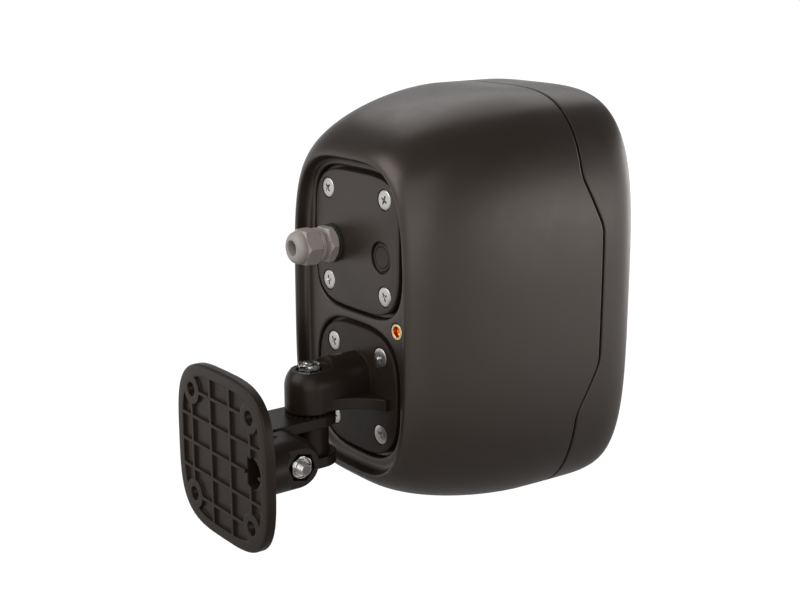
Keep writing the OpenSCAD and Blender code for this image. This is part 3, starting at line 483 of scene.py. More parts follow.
@dataclass(frozen=True)
class Fired(Finish):
    """Sintered or fired body, matt and slightly pitted."""

    def paint(self, graph: Graph) -> None:
        """Pits and a clouded tone.

        Args:
            graph: The material's graph.
        """
        cloud = graph.noise(5.0, 5.0, 0.65)
        low = tuple(0.75 * c for c in self.colour)
        graph.feed("Base Color", graph.blend(cloud, low, self.colour))
        graph.feed("Roughness", 0.6 + (cloud - 0.5) * 0.3)
        graph.relief(graph.cells(0.8), 0.03, 0.25)


@dataclass(frozen=True)
class WoundWire(Finish):
    """Enamelled copper wire in close turns round the -y axis of its part.

    Attributes:
        wire_mm: Thickness of the wire.
    """

    wire_mm: float = 0.8

    def paint(self, graph: Graph) -> None:
        """Turns of wire stacked along y, with painted shade in the grooves between them.

        Args:
            graph: The material's graph.
        """
        ridge = graph.wave(1, self.wire_mm) * 0.5 + 0.5
        # painted shade: the colour falls to 45 percent in the grooves between the turns
        dark = tuple(0.45 * c for c in self.colour)
        graph.feed("Base Color", graph.blend(ridge, dark, self.colour))
        graph.feed("Metallic", 0.9)
        graph.feed("Roughness", 0.42 - ridge * 0.14)
        graph.relief(ridge, 0.2, 0.1)


@dataclass(frozen=True)
class CoatedPaper(Finish):
    """Felted paper pulp with a thin coating."""

    def paint(self, graph: Graph) -> None:
        """Fibres and a slight sheen.

        Args:
            graph: The material's graph.
        """
        fibre = graph.noise(1.4, 6.0, 0.75)
        pale = tuple(1.5 * c for c in self.colour)
        graph.feed("Base Color", graph.blend(fibre, self.colour, pale))
        graph.feed("Roughness", 0.62 + (fibre - 0.5) * 0.35)
        graph.relief(fibre, 0.05, 0.2)


class Look(Enum):
    """Every finish on the speaker."""

    BRACKET = MouldedPlastic((0.0165, 0.0113, 0.0086), 0.36, 0.5, 0.016, 1.0, 0.2)
    CABINET = MouldedPlastic((0.0175, 0.0122, 0.0092), 0.34, 0.55, 0.018, 0.7, 0.55)
    COVER = MouldedPlastic((0.0175, 0.0122, 0.0092), 0.37, 0.5, 0.018, 0.6, 0.48)
    PLUG = MouldedPlastic((0.022, 0.019, 0.017), 0.5, 0.4, 0.01, 0.35, 0.3)
    GLAND = MouldedPlastic((0.36, 0.32, 0.3), 0.42, 0.7, 0.01, 0.4, 0.3)
    TERMINAL = MouldedPlastic((0.03, 0.045, 0.06), 0.35, 0.4, 0.008, 0.3, 0.45)
    BOARD = MouldedPlastic((0.03, 0.13, 0.05), 0.4, 0.9, 0.01, 0.15, 0.45)
    SLEEVE = MouldedPlastic((0.03, 0.08, 0.25), 0.22, 2.0, 0.01, 0.3, 0.5)
    ZINC = PlatedSteel((0.6, 0.585, 0.565), 0.34)
    BOLT = PlatedSteel((0.6, 0.585, 0.565), 0.21)
    DARK_STEEL = PlatedSteel((0.16, 0.155, 0.15), 0.36)
    BARE_STEEL = PlatedSteel((0.42, 0.42, 0.43), 0.34)
    BRASS = TurnedBrass((0.88, 0.78, 0.46))
    BORE = TurnedBrass((0.82, 0.24, 0.02))
    GRILLE = PowderCoat((0.026, 0.024, 0.0225))
    BASKET = PowderCoat((0.03, 0.03, 0.032), 0.4)
    CLOTH = WovenCloth((0.012, 0.0115, 0.011), 0.6)
    SPIDER = WovenCloth((0.42, 0.28, 0.11), 0.5)
    DOME = WovenCloth((0.02, 0.019, 0.018), 0.35)
    WADDING = WovenCloth((0.62, 0.6, 0.55), 1.6)
    RUBBER = SoftRubber((0.014, 0.0135, 0.013))
    FERRITE = Fired((0.03, 0.03, 0.032))
    CERAMIC = Fired((0.62, 0.58, 0.5))
    COPPER = WoundWire((0.62, 0.26, 0.1))
    CONE = CoatedPaper((0.02, 0.0185, 0.0175))


_materials: dict[Look, bpy.types.Material] = {}


def material_of(look: Look) -> bpy.types.Material:
    """The one material of a finish, made when it is first asked for.

    Args:
        look: The finish.

    Returns:
        Its material.
    """
    if look not in _materials:
        _materials[look] = look.value.material("finish_" + look.name.lower())
    return _materials[look]


def dress(piece: bpy.types.Object, look: Look) -> None:
    """Gives a piece or a CAD node one finish all over."""
    piece.data.materials.clear()
    piece.data.materials.append(material_of(look))


# Mesh helpers


def mark_sharp(bm: bmesh.types.BMesh, sharp_degrees: float) -> None:
    """Makes all faces smooth and the edges sharp that turn by more than an angle.

    Args:
        bm: The mesh.
        sharp_degrees: The angle.
    """
    limit = math.radians(sharp_degrees)
    for face in bm.faces:
        face.smooth = True
    for edge in bm.edges:
        edge.smooth = len(edge.link_faces) == 2 and edge.calc_face_angle(0.0) < limit


def new_object(bm: bmesh.types.BMesh, name: str, sharp_degrees: float = 30.0) -> bpy.types.Object:
    """Turns a bmesh into an object with smooth faces and sharp corners.

    Args:
        bm: The mesh, in metres and in the frame's axes. It is freed.
        name: The object's name.
        sharp_degrees: Edges that turn by more than this stay sharp.

    Returns:
        The new object, at the origin.
    """
    mark_sharp(bm, sharp_degrees)
    mesh = bpy.data.meshes.new(name)
    bm.to_mesh(mesh)
    bm.free()
    made = bpy.data.objects.new(name, mesh)
    bpy.context.scene.collection.objects.link(made)
    return made


def fit(
    piece: bpy.types.Object, body: str, look: Look, replaces: Sequence[str] = ()
) -> bpy.types.Object:
    """Places a finished piece on its body, in its finish.

    Args:
        piece: The piece, in place.
        body: The CAD body that it moves with.
        look: Its finish.
        replaces: The CAD nodes that it stands for.

    Returns:
        The same piece.
    """
    dress(piece, look)
    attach(piece, body)
    if replaces:
        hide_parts(*replaces)
    log.info("%s rides on %s, %d faces", piece.name, body, len(piece.data.polygons))
    return piece


def merged_copy(node: str, name: str, sharp_degrees: float = 28.0) -> bpy.types.Object:
    """A smooth-shaded copy of a CAD node with its loose triangles joined.

    Args:
        node: The CAD node.
        name: The copy's name.
        sharp_degrees: Edges that turn by more than this stay sharp.

    Returns:
        The copy.
    """
    bm = bmesh.new()
    bm.from_mesh(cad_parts[node].data)
    bmesh.ops.remove_doubles(bm, verts=bm.verts, dist=MERGE)
    bmesh.ops.dissolve_degenerate(bm, dist=MERGE / 2, edges=bm.edges)
    return new_object(bm, name, sharp_degrees)


def cut(piece: bpy.types.Object, tool: bpy.types.Object, operation: str = "DIFFERENCE") -> None:
    """Applies one boolean and removes its tool.

    Args:
        piece: The object that is cut.
        tool: The cutting solid.
        operation: DIFFERENCE, UNION or INTERSECT.
    """
    modifier = piece.modifiers.new("cut", "BOOLEAN")
    modifier.operation = operation
    modifier.solver = "EXACT"
    modifier.object = tool
    graph = bpy.context.evaluated_depsgraph_get()
    mesh = bpy.data.meshes.new_from_object(piece.evaluated_get(graph))
    piece.modifiers.clear()
    old = piece.data
    piece.data = mesh
    mesh.name = old.name + "_cut"
    bpy.data.meshes.remove(old)
    bpy.data.objects.remove(tool)


@dataclass(frozen=True)
class Outline:
    """The rounded-square outline of a flat moulding, in millimetres.

    Attributes:
        width: Its width.
        height: Its height.
        power: How square its corners are.
        face_y: Where its face lies.
        centre_z: Height of its centre.
    """

    width: float
    height: float
    power: float
    face_y: float = 0.0
    centre_z: float = 0.0

    def holds(self, spot: Vector) -> bool:
        """Whether a point in millimetres lies on the outline's edge.

        Args:
            spot: The point.

        Returns:
            True where it lies on the edge.
        """
        reach = abs(spot.x * 2 / self.width) ** self.power
        reach += abs((spot.z - self.centre_z) * 2 / self.height) ** self.power
        return reach > 0.95 and abs(spot.y - self.face_y) < 0.03

    def round_edge(self, piece: bpy.types.Object, radius: float) -> None:
        """Rounds the sharp edge that runs along this outline.

        Args:
            piece: The moulding.
            radius: Radius of the rounding.
        """
        bm = bmesh.new()
        bm.from_mesh(piece.data)
        edges = [
            edge
            for edge in bm.edges
            if len(edge.link_faces) == 2
            and all(self.holds(v.co / MM) for v in edge.verts)
            and edge.calc_face_angle() > 0.6
        ]
        bmesh.ops.bevel(
            bm, geom=edges, offset=radius * MM, offset_type="OFFSET", segments=4, profile=0.5,
            affect="EDGES", material=-1, clamp_overlap=True,
        )
        bm.to_mesh(piece.data)
        bm.free()
        log.info("%s: rounded %d edges", piece.name, len(edges))


def resharpen(piece: bpy.types.Object, sharp_degrees: float = 30.0) -> None:
    """Marks the sharp edges of a piece anew after a cut.

    Args:
        piece: The piece.
        sharp_degrees: Edges that turn by more than this stay sharp.
    """
    bm = bmesh.new()
    bm.from_mesh(piece.data)
    bmesh.ops.remove_doubles(bm, verts=bm.verts, dist=MERGE)
    mark_sharp(bm, sharp_degrees)
    bm.to_mesh(piece.data)
    bm.free()


def add_ring(bm: bmesh.types.BMesh, points: Sequence[Vector]) -> list[bmesh.types.BMEdge]:
    """Adds one closed ring of edges.

    Args:
        bm: The mesh that gets it.
        points: Its points in order.

    Returns:
        The ring's edges.
    """
    made = bmesh.ops.create_circle(bm, cap_ends=False, radius=1.0, segments=len(points))["verts"]
    for vert, point in zip(made, points):
        vert.co = point
    return list({edge for vert in made for edge in vert.link_edges})


def skin(
    bm: bmesh.types.BMesh, rings: Sequence[Sequence[Vector]], cap_first: bool, cap_last: bool
) -> None:
    """Joins a row of rings with faces.

    Args:
        bm: The mesh that gets them.
        rings: The rings in order, all with the same number of points.
        cap_first: Closes the first ring.
        cap_last: Closes the last ring.
    """
    previous = add_ring(bm, rings[0])
    if cap_first:
        bmesh.ops.edgeloop_fill(bm, edges=previous)
    for ring in rings[1:]:
        edges = add_ring(bm, ring)
        bmesh.ops.bridge_loops(bm, edges=previous + edges)
        previous = edges
    if cap_last:
        bmesh.ops.edgeloop_fill(bm, edges=previous)


def skinned_object(
    name: str, rings: Sequence[Sequence[Vector]], sharp_degrees: float = 30.0
) -> bpy.types.Object:
    """A closed solid through a row of rings.

    Args:
        name: The object's name.
        rings: The rings in order.
        sharp_degrees: Edges that turn by more than this stay sharp.

    Returns:
        The solid.
    """
    bm = bmesh.new()
    skin(bm, rings, True, True)
    bmesh.ops.recalc_face_normals(bm, faces=bm.faces)
    return new_object(bm, name, sharp_degrees)


def spun(
    profile: Sequence[tuple[float, float]], steps: int, place: Matrix
) -> bmesh.types.BMesh:
    """Turns a closed profile round its axis.

    Args:
        profile: Radius and height of its points in millimetres, from the axis back to the axis.
        steps: Number of steps round.
        place: Where the turned body goes, in metres.

    Returns:
        The closed body.
    """
    bm = bmesh.new()
    verts = [bm.verts.new((r * MM, 0.0, h * MM)) for r, h in profile]
    edges = [bm.edges.new(pair) for pair in zip(verts, verts[1:])]
    bmesh.ops.spin(
        bm,
        geom=verts + edges,
        cent=(0, 0, 0),
        axis=(0, 0, 1),
        angle=2 * math.pi,
        steps=steps,
        use_merge=True,
    )
    bmesh.ops.remove_doubles(bm, verts=bm.verts, dist=FINE_MERGE)
    bmesh.ops.dissolve_degenerate(bm, dist=FINE_MERGE / 2, edges=bm.edges)
    bmesh.ops.recalc_face_normals(bm, faces=bm.faces)
    bmesh.ops.transform(bm, matrix=place, verts=bm.verts)
    return bm


def hexagon(low: float, high: float, af: float, chamfer: float) -> bpy.types.Object:
    """A six-sided prism whose corners are turned off at both ends.

    Args:
        low: Its lower end.
        high: Its upper end.
        af: Its width across flats.
        chamfer: How steeply the corners are turned off.

    Returns:
        The prism, along z.
    """
    bm = bmesh.new()
    radius = af / 2 / math.cos(math.pi / 6) * MM
    bmesh.ops.create_cone(
        bm, cap_ends=True, segments=6, radius1=radius, radius2=radius, depth=(high - low) * MM
    )
    bmesh.ops.rotate(
        bm, cent=(0, 0, 0), matrix=Matrix.Rotation(math.radians(90), 3, "Z"), verts=bm.verts
    )
    bmesh.ops.translate(bm, vec=(0, 0, (low + high) / 2 * MM), verts=bm.verts)
    prism = new_object(bm, "prism")
    face = af / 2 * 0.97
    corner = af / 2 / math.cos(math.pi / 6) + 0.3
    rise = (corner - face) * chamfer
    profile = [(0, low - 0.001), (face, low - 0.001), (corner, low + rise)]
    profile += [(corner, high - rise), (face, high + 0.001), (0, high + 0.001)]
    turned = new_object(spun(profile, 72, Matrix.Identity(4)), "turned")
    cut(prism, turned, "INTERSECT")
    return prism


def joined(name: str, parts: Iterable[bpy.types.Object]) -> bpy.types.Object:
    """Joins finished objects into one and removes them.

    Args:
        name: The new object's name.
        parts: The objects.

    Returns:
        The joined object.
    """
    bm = bmesh.new()
    for part in parts:
        bm.from_mesh(part.data)
        bpy.data.objects.remove(part)
    return new_object(bm, name)


def arc(
    centre: tuple[float, float], radius: float, start: float, end: float, steps: int
) -> list[tuple[float, float]]:
    """Points of an arc in a profile, with angles in degrees.

    Args:
        centre: Its centre.
        radius: Its radius.
        start: Angle of its first point.
        end: Angle of its last point.
        steps: Number of steps.

    Returns:
        The points.
    """
    return [
        (
            centre[0] + radius * math.cos(math.radians(start + (end - start) * k / steps)),
            centre[1] + radius * math.sin(math.radians(start + (end - start) * k / steps)),
        )
        for k in range(steps + 1)
    ]


def bend(
    first: tuple[float, float], corner: tuple[float, float], last: tuple[float, float], steps: int
) -> list[tuple[float, float]]:
    """Points of a soft corner between two profile points.

    Args:
        first: Where it starts.
        corner: The corner that it leaves out.
        last: Where it ends.
        steps: Number of steps.

    Returns:
        The points.
    """
    points = []
    for k in range(steps + 1):
        t = k / steps
        a, b, c = (1 - t) ** 2, 2 * t * (1 - t), t * t
        points.append(
            (
                a * first[0] + b * corner[0] + c * last[0],
                a * first[1] + b * corner[1] + c * last[1],
            )
        )
    return points


# Cabinet


def rounded_square(
    half_w: float, half_h: float, power: float, count: int
) -> list[tuple[float, float]]:
    """Evenly spaced points of a rounded square.

    Args:
        half_w: Half its width.
        half_h: Half its height.
        power: How square its corners are.
        count: Number of points, in multiples of four.

    Returns:
        The points, anticlockwise from +x.
    """
    quarter = count // 4
    fine = 1600
    raw = []
    for k in range(fine + 1):
        t = math.pi / 2 * k / fine
        raw.append(
            (half_w * math.cos(t) ** (2 / power), half_h * abs(math.sin(t)) ** (2 / power))
        )
    length = [0.0]
    for a, b in zip(raw, raw[1:]):
        length.append(length[-1] + math.dist(a, b))
    points = []
    k = 0
    for i in range(quarter):
        want = length[-1] * i / quarter
        while length[k + 1] < want:
            k += 1
        t = (want - length[k]) / (length[k + 1] - length[k])
        points.append(
            (
                raw[k][0] + t * (raw[k + 1][0] - raw[k][0]),
                raw[k][1] + t * (raw[k + 1][1] - raw[k][1]),
            )
        )
    upper = points + [(0.0, half_h)] + [(-x, y) for x, y in reversed(points[1:])]
    return upper + [(-half_w, 0.0)] + [(x, -y) for x, y in reversed(upper[1:])]


REAR_EDGE = 0.03


@dataclass
class Cabinet:
    """The two mouldings, in the sizes of the part's source with softer lips, in millimetres."""

    width: float = 138.0
    height: float = 205.0
    depth: float = 124.0
    centre_z: float = 60.0
    rear_y: float = -71.6
    rear_w: float = 90.4
    rear_h: float = 155.2
    rear_drop: float = 4.1
    side_round: float = 120.0
    top_round: float = 75.0
    swell_side: float = 1.75
    swell_top: float = 1.6
    wall: float = 3.0
    front_round: float = 16.0
    front_inset: float = 3.0
    square: float = 3.7
    seam_high: float = 91.4
    seam_low: float = 103.4
    seam_gap: float = 1.25
    seam_top: float = 38.0
    seam_bottom: float = 30.0
    seam_slant: float = 25.0
    seam_bend: float = 3.5
    seam_lip: float = 0.5
    seam_turn: float = 0.16
    seam_supports: tuple[float, ...] = (0.5, 0.75, 1.6)
    rear_rings: int = 30
    rear_crowding: float = 2.6
    recess_w: float = 87.8
    recess_h: float = 152.4
    recess_d: float = 5.8
    recess_square: float = 3.8
    cover_proud: float = 0.4
    pocket_depth: float = 9.6
    reveal: float = 1.8
    cover_w: float = 68.0
    cover_h: float = 67.0
    cover_square: float = 4.0
    cover_up: float = 32.0
    plate_w: float = 64.8
    plate_h: float = 62.6
    plate_square: float = 3.1
    plate_up: float = -40.8
    baffle_depth: float = 112.4
    baffle_t: float = 4.0
    woofer_up: float = -36.0
    woofer_hole_r: float = 39.0
    tweeter_up: float = 48.0
    tweeter_hole_r: float = 19.0
    points: int = 240
    ring: list[tuple[float, float]] = field(default_factory=list)

    def __post_init__(self) -> None:
        """Works out the evenly spaced outline that every ring follows."""
        wide = rounded_square(self.width / 2, self.height / 2, self.square, self.points)
        self.ring = [(x / (self.width / 2), y / (self.height / 2)) for x, y in wide]

    def place(self, x: float, up: float, depth: float) -> Vector:
        """A point of the cabinet in the frame, in metres."""
        return Vector((x, self.rear_y - depth, self.centre_z + up)) * MM

    def floor_y(self) -> float:
        """Where the floor of the recess lies."""
        return self.rear_y - self.recess_d

    def face_y(self) -> float:
        """Where the faces of the cover and the bracket's plate lie."""
        return self.floor_y() + self.cover_proud

    def cover_outline(self) -> Outline:
        """The cover's outline, at its face."""
        high = self.centre_z + self.cover_up
        return Outline(self.cover_w, self.cover_h, self.cover_square, self.face_y(), high)

    def plate_outline(self) -> Outline:
        """The outline of the bracket's plate, at its face."""
        high = self.centre_z + self.plate_up
        return Outline(self.plate_w, self.plate_h, self.plate_square, self.face_y(), high)

    def swell(self, share: float, power: float) -> float:
        """Share of the full swell that is reached at a share of its depth."""
        share = min(1.0, max(0.0, share))
        return (1 - (1 - share) ** power) ** (1 / power)

    def front_draw(self, depth: float) -> float:
        """How far the outline draws in near the front edge."""
        t = min(1.0, max(0.0, (depth - self.depth + self.front_round) / self.front_round))
        return self.front_inset * (1 - math.sqrt(1 - t * t))

    def outside(self, index: int, depth: float, inset: float = 0.0) -> tuple[float, float]:
        """One point of the outline at a depth, drawn in by an inset.

        Args:
            index: Number of the point.
            depth: The depth.
            inset: How far it is drawn in.

        Returns:
            Its x and its height above the centre.
        """
        side = self.swell(depth / self.side_round, self.swell_side)
        top = self.swell(depth / self.top_round, self.swell_top)
        draw = self.front_draw(depth) + inset
        half_w = self.rear_w / 2 + (self.width - self.rear_w) / 2 * side - draw
        half_h = self.rear_h / 2 + (self.height - self.rear_h) / 2 * top - draw
        x, y = self.ring[index]
        return x * half_w, y * half_h - self.rear_drop * (1 - top)

    def seam_at(self, up: float) -> float:
        """Depth of the seam at a height, with its bends softened.

        Args:
            up: The height above the centre.

        Returns:
            The depth.
        """

        def plain(height: float) -> float:
            """The seam with sharp bends.

            Args:
                height: The height above the centre.

            Returns:
                The depth.
            """
            if height > 0:
                share = (height - self.seam_top) / self.seam_slant
            else:
                share = (-height - self.seam_bottom) / self.seam_slant
            share = min(1.0, max(0.0, share))
            return self.seam_low + (self.seam_high - self.seam_low) * share

        window = [self.seam_bend * (k / 4 - 1) for k in range(9)]
        return sum(plain(up + w) for w in window) / len(window)

    def seam_depths(self, shift: float, inset: float = 0.0) -> list[float]:
        """Depth at which each point of the outline meets the seam.

        Args:
            shift: What is added to each depth.
            inset: How far the outline is drawn in.

        Returns:
            One depth for each point.
        """
        depths = []
        for i in range(len(self.ring)):
            depth = self.seam_low
            for _ in range(6):
                depth = self.seam_at(self.outside(i, depth, inset)[1])
            depths.append(depth + shift)
        return depths

    def ring_at(self, depths: Sequence[float], inset: float) -> list[Vector]:
        """The outline with its own depth at each point.

        Args:
            depths: One depth for each point.
            inset: How far the outline is drawn in.

        Returns:
            The ring, in metres.
        """
        ring = []
        for i, depth in enumerate(depths):
            x, up = self.outside(i, depth, inset)
            ring.append(self.place(x, up, depth))
        return ring

    def flat_ring(
        self, half_w: float, half_h: float, power: float, up: float, depth: float
    ) -> list[Vector]:
        """A rounded square at one depth.

        Args:
            half_w: Half its width.
            half_h: Half its height.
            power: How square its corners are.
            up: Height of its centre.
            depth: The depth.

        Returns:
            The ring, in metres.
        """
        return [
            self.place(x, y + up, depth)
            for x, y in rounded_square(half_w, half_h, power, self.points)
        ]

    def recess_cutter(self) -> bpy.types.Object:
        """The recess as a solid, with its rounded lip and its floor fillet.

        Returns:
            The cutting solid.
        """
        deep = self.recess_d
        profile = [(1.5, -0.6)]
        profile += bend((0.85, -0.02), (0.05, 0.0), (-0.2, 0.9), 6)
        profile += bend((-0.7, 3.2), (-1.2, deep), (-4.0, deep), 8)
        rings = [
            self.flat_ring(
                self.recess_w / 2 + out,
                self.recess_h / 2 + out,
                self.recess_square,
                -self.rear_drop,
                depth,
            )
            for out, depth in profile
        ]
        return skinned_object("recess_cutter", rings)

    def pocket_cutter(
        self, name: str, half_w: float, half_h: float, power: float, up: float
    ) -> bpy.types.Object:
        """One pocket in the recess floor as a solid with a rounded mouth and a floor fillet.

        Args:
            name: Its name.
            half_w: Half its width.
            half_h: Half its height.
            power: How square its corners are.
            up: Height of its centre.

        Returns:
            The cutting solid.
        """
        deep = self.pocket_depth
        floor = self.recess_d
        profile = [(1.6, floor - 1.5), (1.6, floor - 0.02)]
        profile += bend((1.3, floor + 0.02), (0.1, floor), (0.0, floor + 1.3), 6)
        profile += [(0.0, deep - 0.7), (-0.25, deep - 0.2), (-0.8, deep)]
        rings = [
            self.flat_ring(half_w + out, half_h + out, power, up, depth) for out, depth in profile
        ]
        return skinned_object(name, rings)

    def rear_moulding(self) -> bpy.types.Object:
        """The rear moulding: its swelling outside, the recess and both pockets.

        Returns:
            The moulding.
        """
        ends = self.seam_depths(-self.seam_gap / 2)
        rings = []
        inner = self.pocket_depth + self.wall
        for k in range(6):
            rings.append(self.ring_at([inner + (e - inner) * k / 5 for e in ends], self.wall))
        lip, turn = self.seam_lip, self.seam_turn
        rings.append(self.ring_at(ends, lip))
        rings.append(self.ring_at([e - turn for e in ends], turn + 0.01))
        for back in (*self.seam_supports, 2 * self.seam_supports[-1]):
            rings.append(self.ring_at([e - back for e in ends], 0.0))
        for k in range(self.rear_rings - 1, -1, -1):
            share = (k / self.rear_rings) ** self.rear_crowding
            rings.append(
                self.ring_at([REAR_EDGE + (e - back - REAR_EDGE) * share for e in ends], 0.0)
            )
        piece = skinned_object("rear_moulding", rings)
        cut(piece, self.recess_cutter())
        for name, w, h, square, up in (
            ("cover_pocket", self.cover_w, self.cover_h, self.cover_square, self.cover_up),
            ("plate_pocket", self.plate_w, self.plate_h, self.plate_square, self.plate_up),
        ):
            half_w, half_h = w / 2 + self.reveal, h / 2 + self.reveal
            cut(piece, self.pocket_cutter(name, half_w, half_h, square, up))
        resharpen(piece)
        return piece

    def front_moulding(self) -> bpy.types.Object:
        """The front moulding: bezel and baffle in one, with both driver holes.

        Returns:
            The moulding.
        """
        starts = self.seam_depths(self.seam_gap / 2)
        back = self.baffle_depth - self.baffle_t
        rings = [self.ring_at([back] * len(starts), self.wall)]
        for k in range(2, -1, -1):
            rings.append(self.ring_at([s + (back - s) * k / 3 for s in starts], self.wall))
        lip, turn = self.seam_lip, self.seam_turn
        rings.append(self.ring_at(starts, lip))
        rings.append(self.ring_at([s + turn for s in starts], turn + 0.01))
        for ahead in self.seam_supports:
            rings.append(self.ring_at([s + ahead for s in starts], 0.0))
        flat = self.depth - self.front_round
        for k in range(1, 8):
            rings.append(
                self.ring_at([s + ahead + (flat - s - ahead) * k / 7 for s in starts], 0.0)
            )
        for k in range(1, 12):
            d = self.depth - self.front_round * (1 - math.sin(math.pi / 2 * k / 12))
            rings.append(self.ring_at([d] * len(starts), 0.0))
        rings.append(self.ring_at([self.depth] * len(starts), 0.35))
        rings.append(self.ring_at([self.depth - 0.04] * len(starts), self.wall - 0.7))
        rings.append(self.ring_at([self.depth - 0.2] * len(starts), self.wall - 0.2))
        rings.append(self.ring_at([self.depth - 0.7] * len(starts), self.wall))
        rings.append(self.ring_at([self.baffle_depth] * len(starts), self.wall))
        piece = skinned_object("front_moulding", rings)
        for name, up, radius in (
            ("woofer_hole", self.woofer_up, self.woofer_hole_r),
            ("tweeter_hole", self.tweeter_up, self.tweeter_hole_r),
        ):
            turn = Matrix.Translation(self.place(0, up, self.baffle_depth + 5)) @ Matrix.Rotation(
                -math.pi / 2, 4, "X"
            )
            tool = spun([(0, 0), (radius, 0), (radius, 14), (0, 14)], 96, turn)
            cut(piece, new_object(tool, name))
        resharpen(piece)
        return piece

    def build(self, inlays: "Inlays") -> None:
        """Makes both mouldings, the cover and what is let into them.

        Args:
            inlays: What is let into the mouldings.
        """
        rear = self.rear_moulding()
        cut(rear, inlays.insert_seat(self))
        resharpen(rear)
        fit(rear, "speaker", Look.CABINET, ["rear_cabinet"])
        fit(self.front_moulding(), "speaker", Look.CABINET, ["front_baffle"])
        cover = merged_copy("rear_cover", "cover_plate")
        self.cover_outline().round_edge(cover, 0.8)
        cut(cover, inlays.plug_seat(self))
        resharpen(cover, 28.0)
        fit(cover, "speaker", Look.COVER, ["rear_cover"])
        inlays.build(self)


class Facing(Enum):
    """The way a fastener's outer end points."""

    WALL = Matrix.Rotation(-math.pi / 2, 4, "X")
    UP = Matrix.Identity(4)
    LEFT = Matrix.Rotation(-math.pi / 2, 4, "Y")


@dataclass
class Inlays:
    """The plug of the spare cable hole and the brass insert, in millimetres."""

    plug_x: float = -20.0
    plug_z: float = 87.4
    plug_r: float = 6.7
    plug_sunk: float = 0.8
    seat_r: float = 7.65
    seat_t: float = 1.9
    insert_x: float = -32.0
    insert_z: float = 54.0
    rim_r: float = 3.9
    bore_r: float = 2.45

    def spun_at(
        self, name: str, profile: Sequence[tuple[float, float]], x: float, y: float, z: float
    ) -> bpy.types.Object:
        """A turned piece whose own +z points at the wall."""
        place = Matrix.Translation(Vector((x, y, z)) * MM) @ Facing.WALL.value
        return new_object(spun(profile, 64, place), name, 25.0)

    def plug_seat(self, cabinet: Cabinet) -> bpy.types.Object:
        """The stepped hole that the plug sits in.

        Args:
            cabinet: The cabinet.

        Returns:
            The cutting solid.
        """
        low = -self.seat_t
        profile = [(0, low), (self.seat_r - 0.3, low), (self.seat_r, low + 0.3)]
        profile += [(self.seat_r, -0.3), (self.seat_r + 0.3, 0.02), (self.seat_r + 0.3, 1), (0, 1)]
        return self.spun_at("plug_seat", profile, self.plug_x, cabinet.face_y(), self.plug_z)

    def insert_seat(self, cabinet: Cabinet) -> bpy.types.Object:
        """The counterbored hole of the insert.

        Args:
            cabinet: The cabinet.

        Returns:
            The cutting solid.
        """
        rim = self.rim_r + 0.45
        profile = [(0, -12), (3.55, -12), (3.55, -1), (rim, -1), (rim, -0.1), (rim + 0.15, 0.05)]
        profile += [(rim + 0.15, 1), (0, 1)]
        return self.spun_at(
            "insert_seat", profile, self.insert_x, cabinet.floor_y(), self.insert_z
        )

    def build(self, cabinet: Cabinet) -> None:
        """Makes the plug and the blind insert.

        Args:
            cabinet: The cabinet.
        """
        floor = cabinet.floor_y()
        sunk = -self.plug_sunk
        profile = [(0, -4.2), (7.8, -4.2), (7.8, -3.02), (6.58, -3.02), (6.58, -2.0)]
        profile += [(self.plug_r, -self.seat_t), (self.plug_r, sunk - 0.35)]
        profile += [(self.plug_r - 0.3, sunk), (5.4, sunk + 0.02), (5.25, sunk - 0.4)]
        profile += [(5.05, sunk - 0.4), (4.9, sunk + 0.04), (0, sunk + 0.08)]
        plug = self.spun_at("hole_plug", profile, self.plug_x, cabinet.face_y(), self.plug_z)
        fit(plug, "speaker", Look.PLUG, ["blanking_plug"])
        rim, bore = self.rim_r, self.bore_r
        profile = [(0, -9), (3.4, -9), (3.4, -0.9), (rim, -0.9), (rim, -0.05), (rim - 0.15, 0.1)]
        profile += [(bore + 0.3, 0.1), (bore + 0.1, 0.0), (bore + 0.1, -4), (0, -4)]
        ring = self.spun_at("insert_ring", profile, self.insert_x, floor, self.insert_z)
        fit(ring, "speaker", Look.BRASS, ["safety_insert"])
        # The bore is drawn in its own deeper orange-red copy of the brass finish, apart from the rim.
        profile = [(0, -3.9), (bore + 0.09, -3.9), (bore + 0.09, -0.15), (bore, -0.2)]
        profile += [(bore, -2.2), (bore - 0.8, -2.9), (0, -3.1)]
        bore_surface = self.spun_at("insert_bore", profile, self.insert_x, floor, self.insert_z)
        fit(bore_surface, "speaker", Look.BORE)


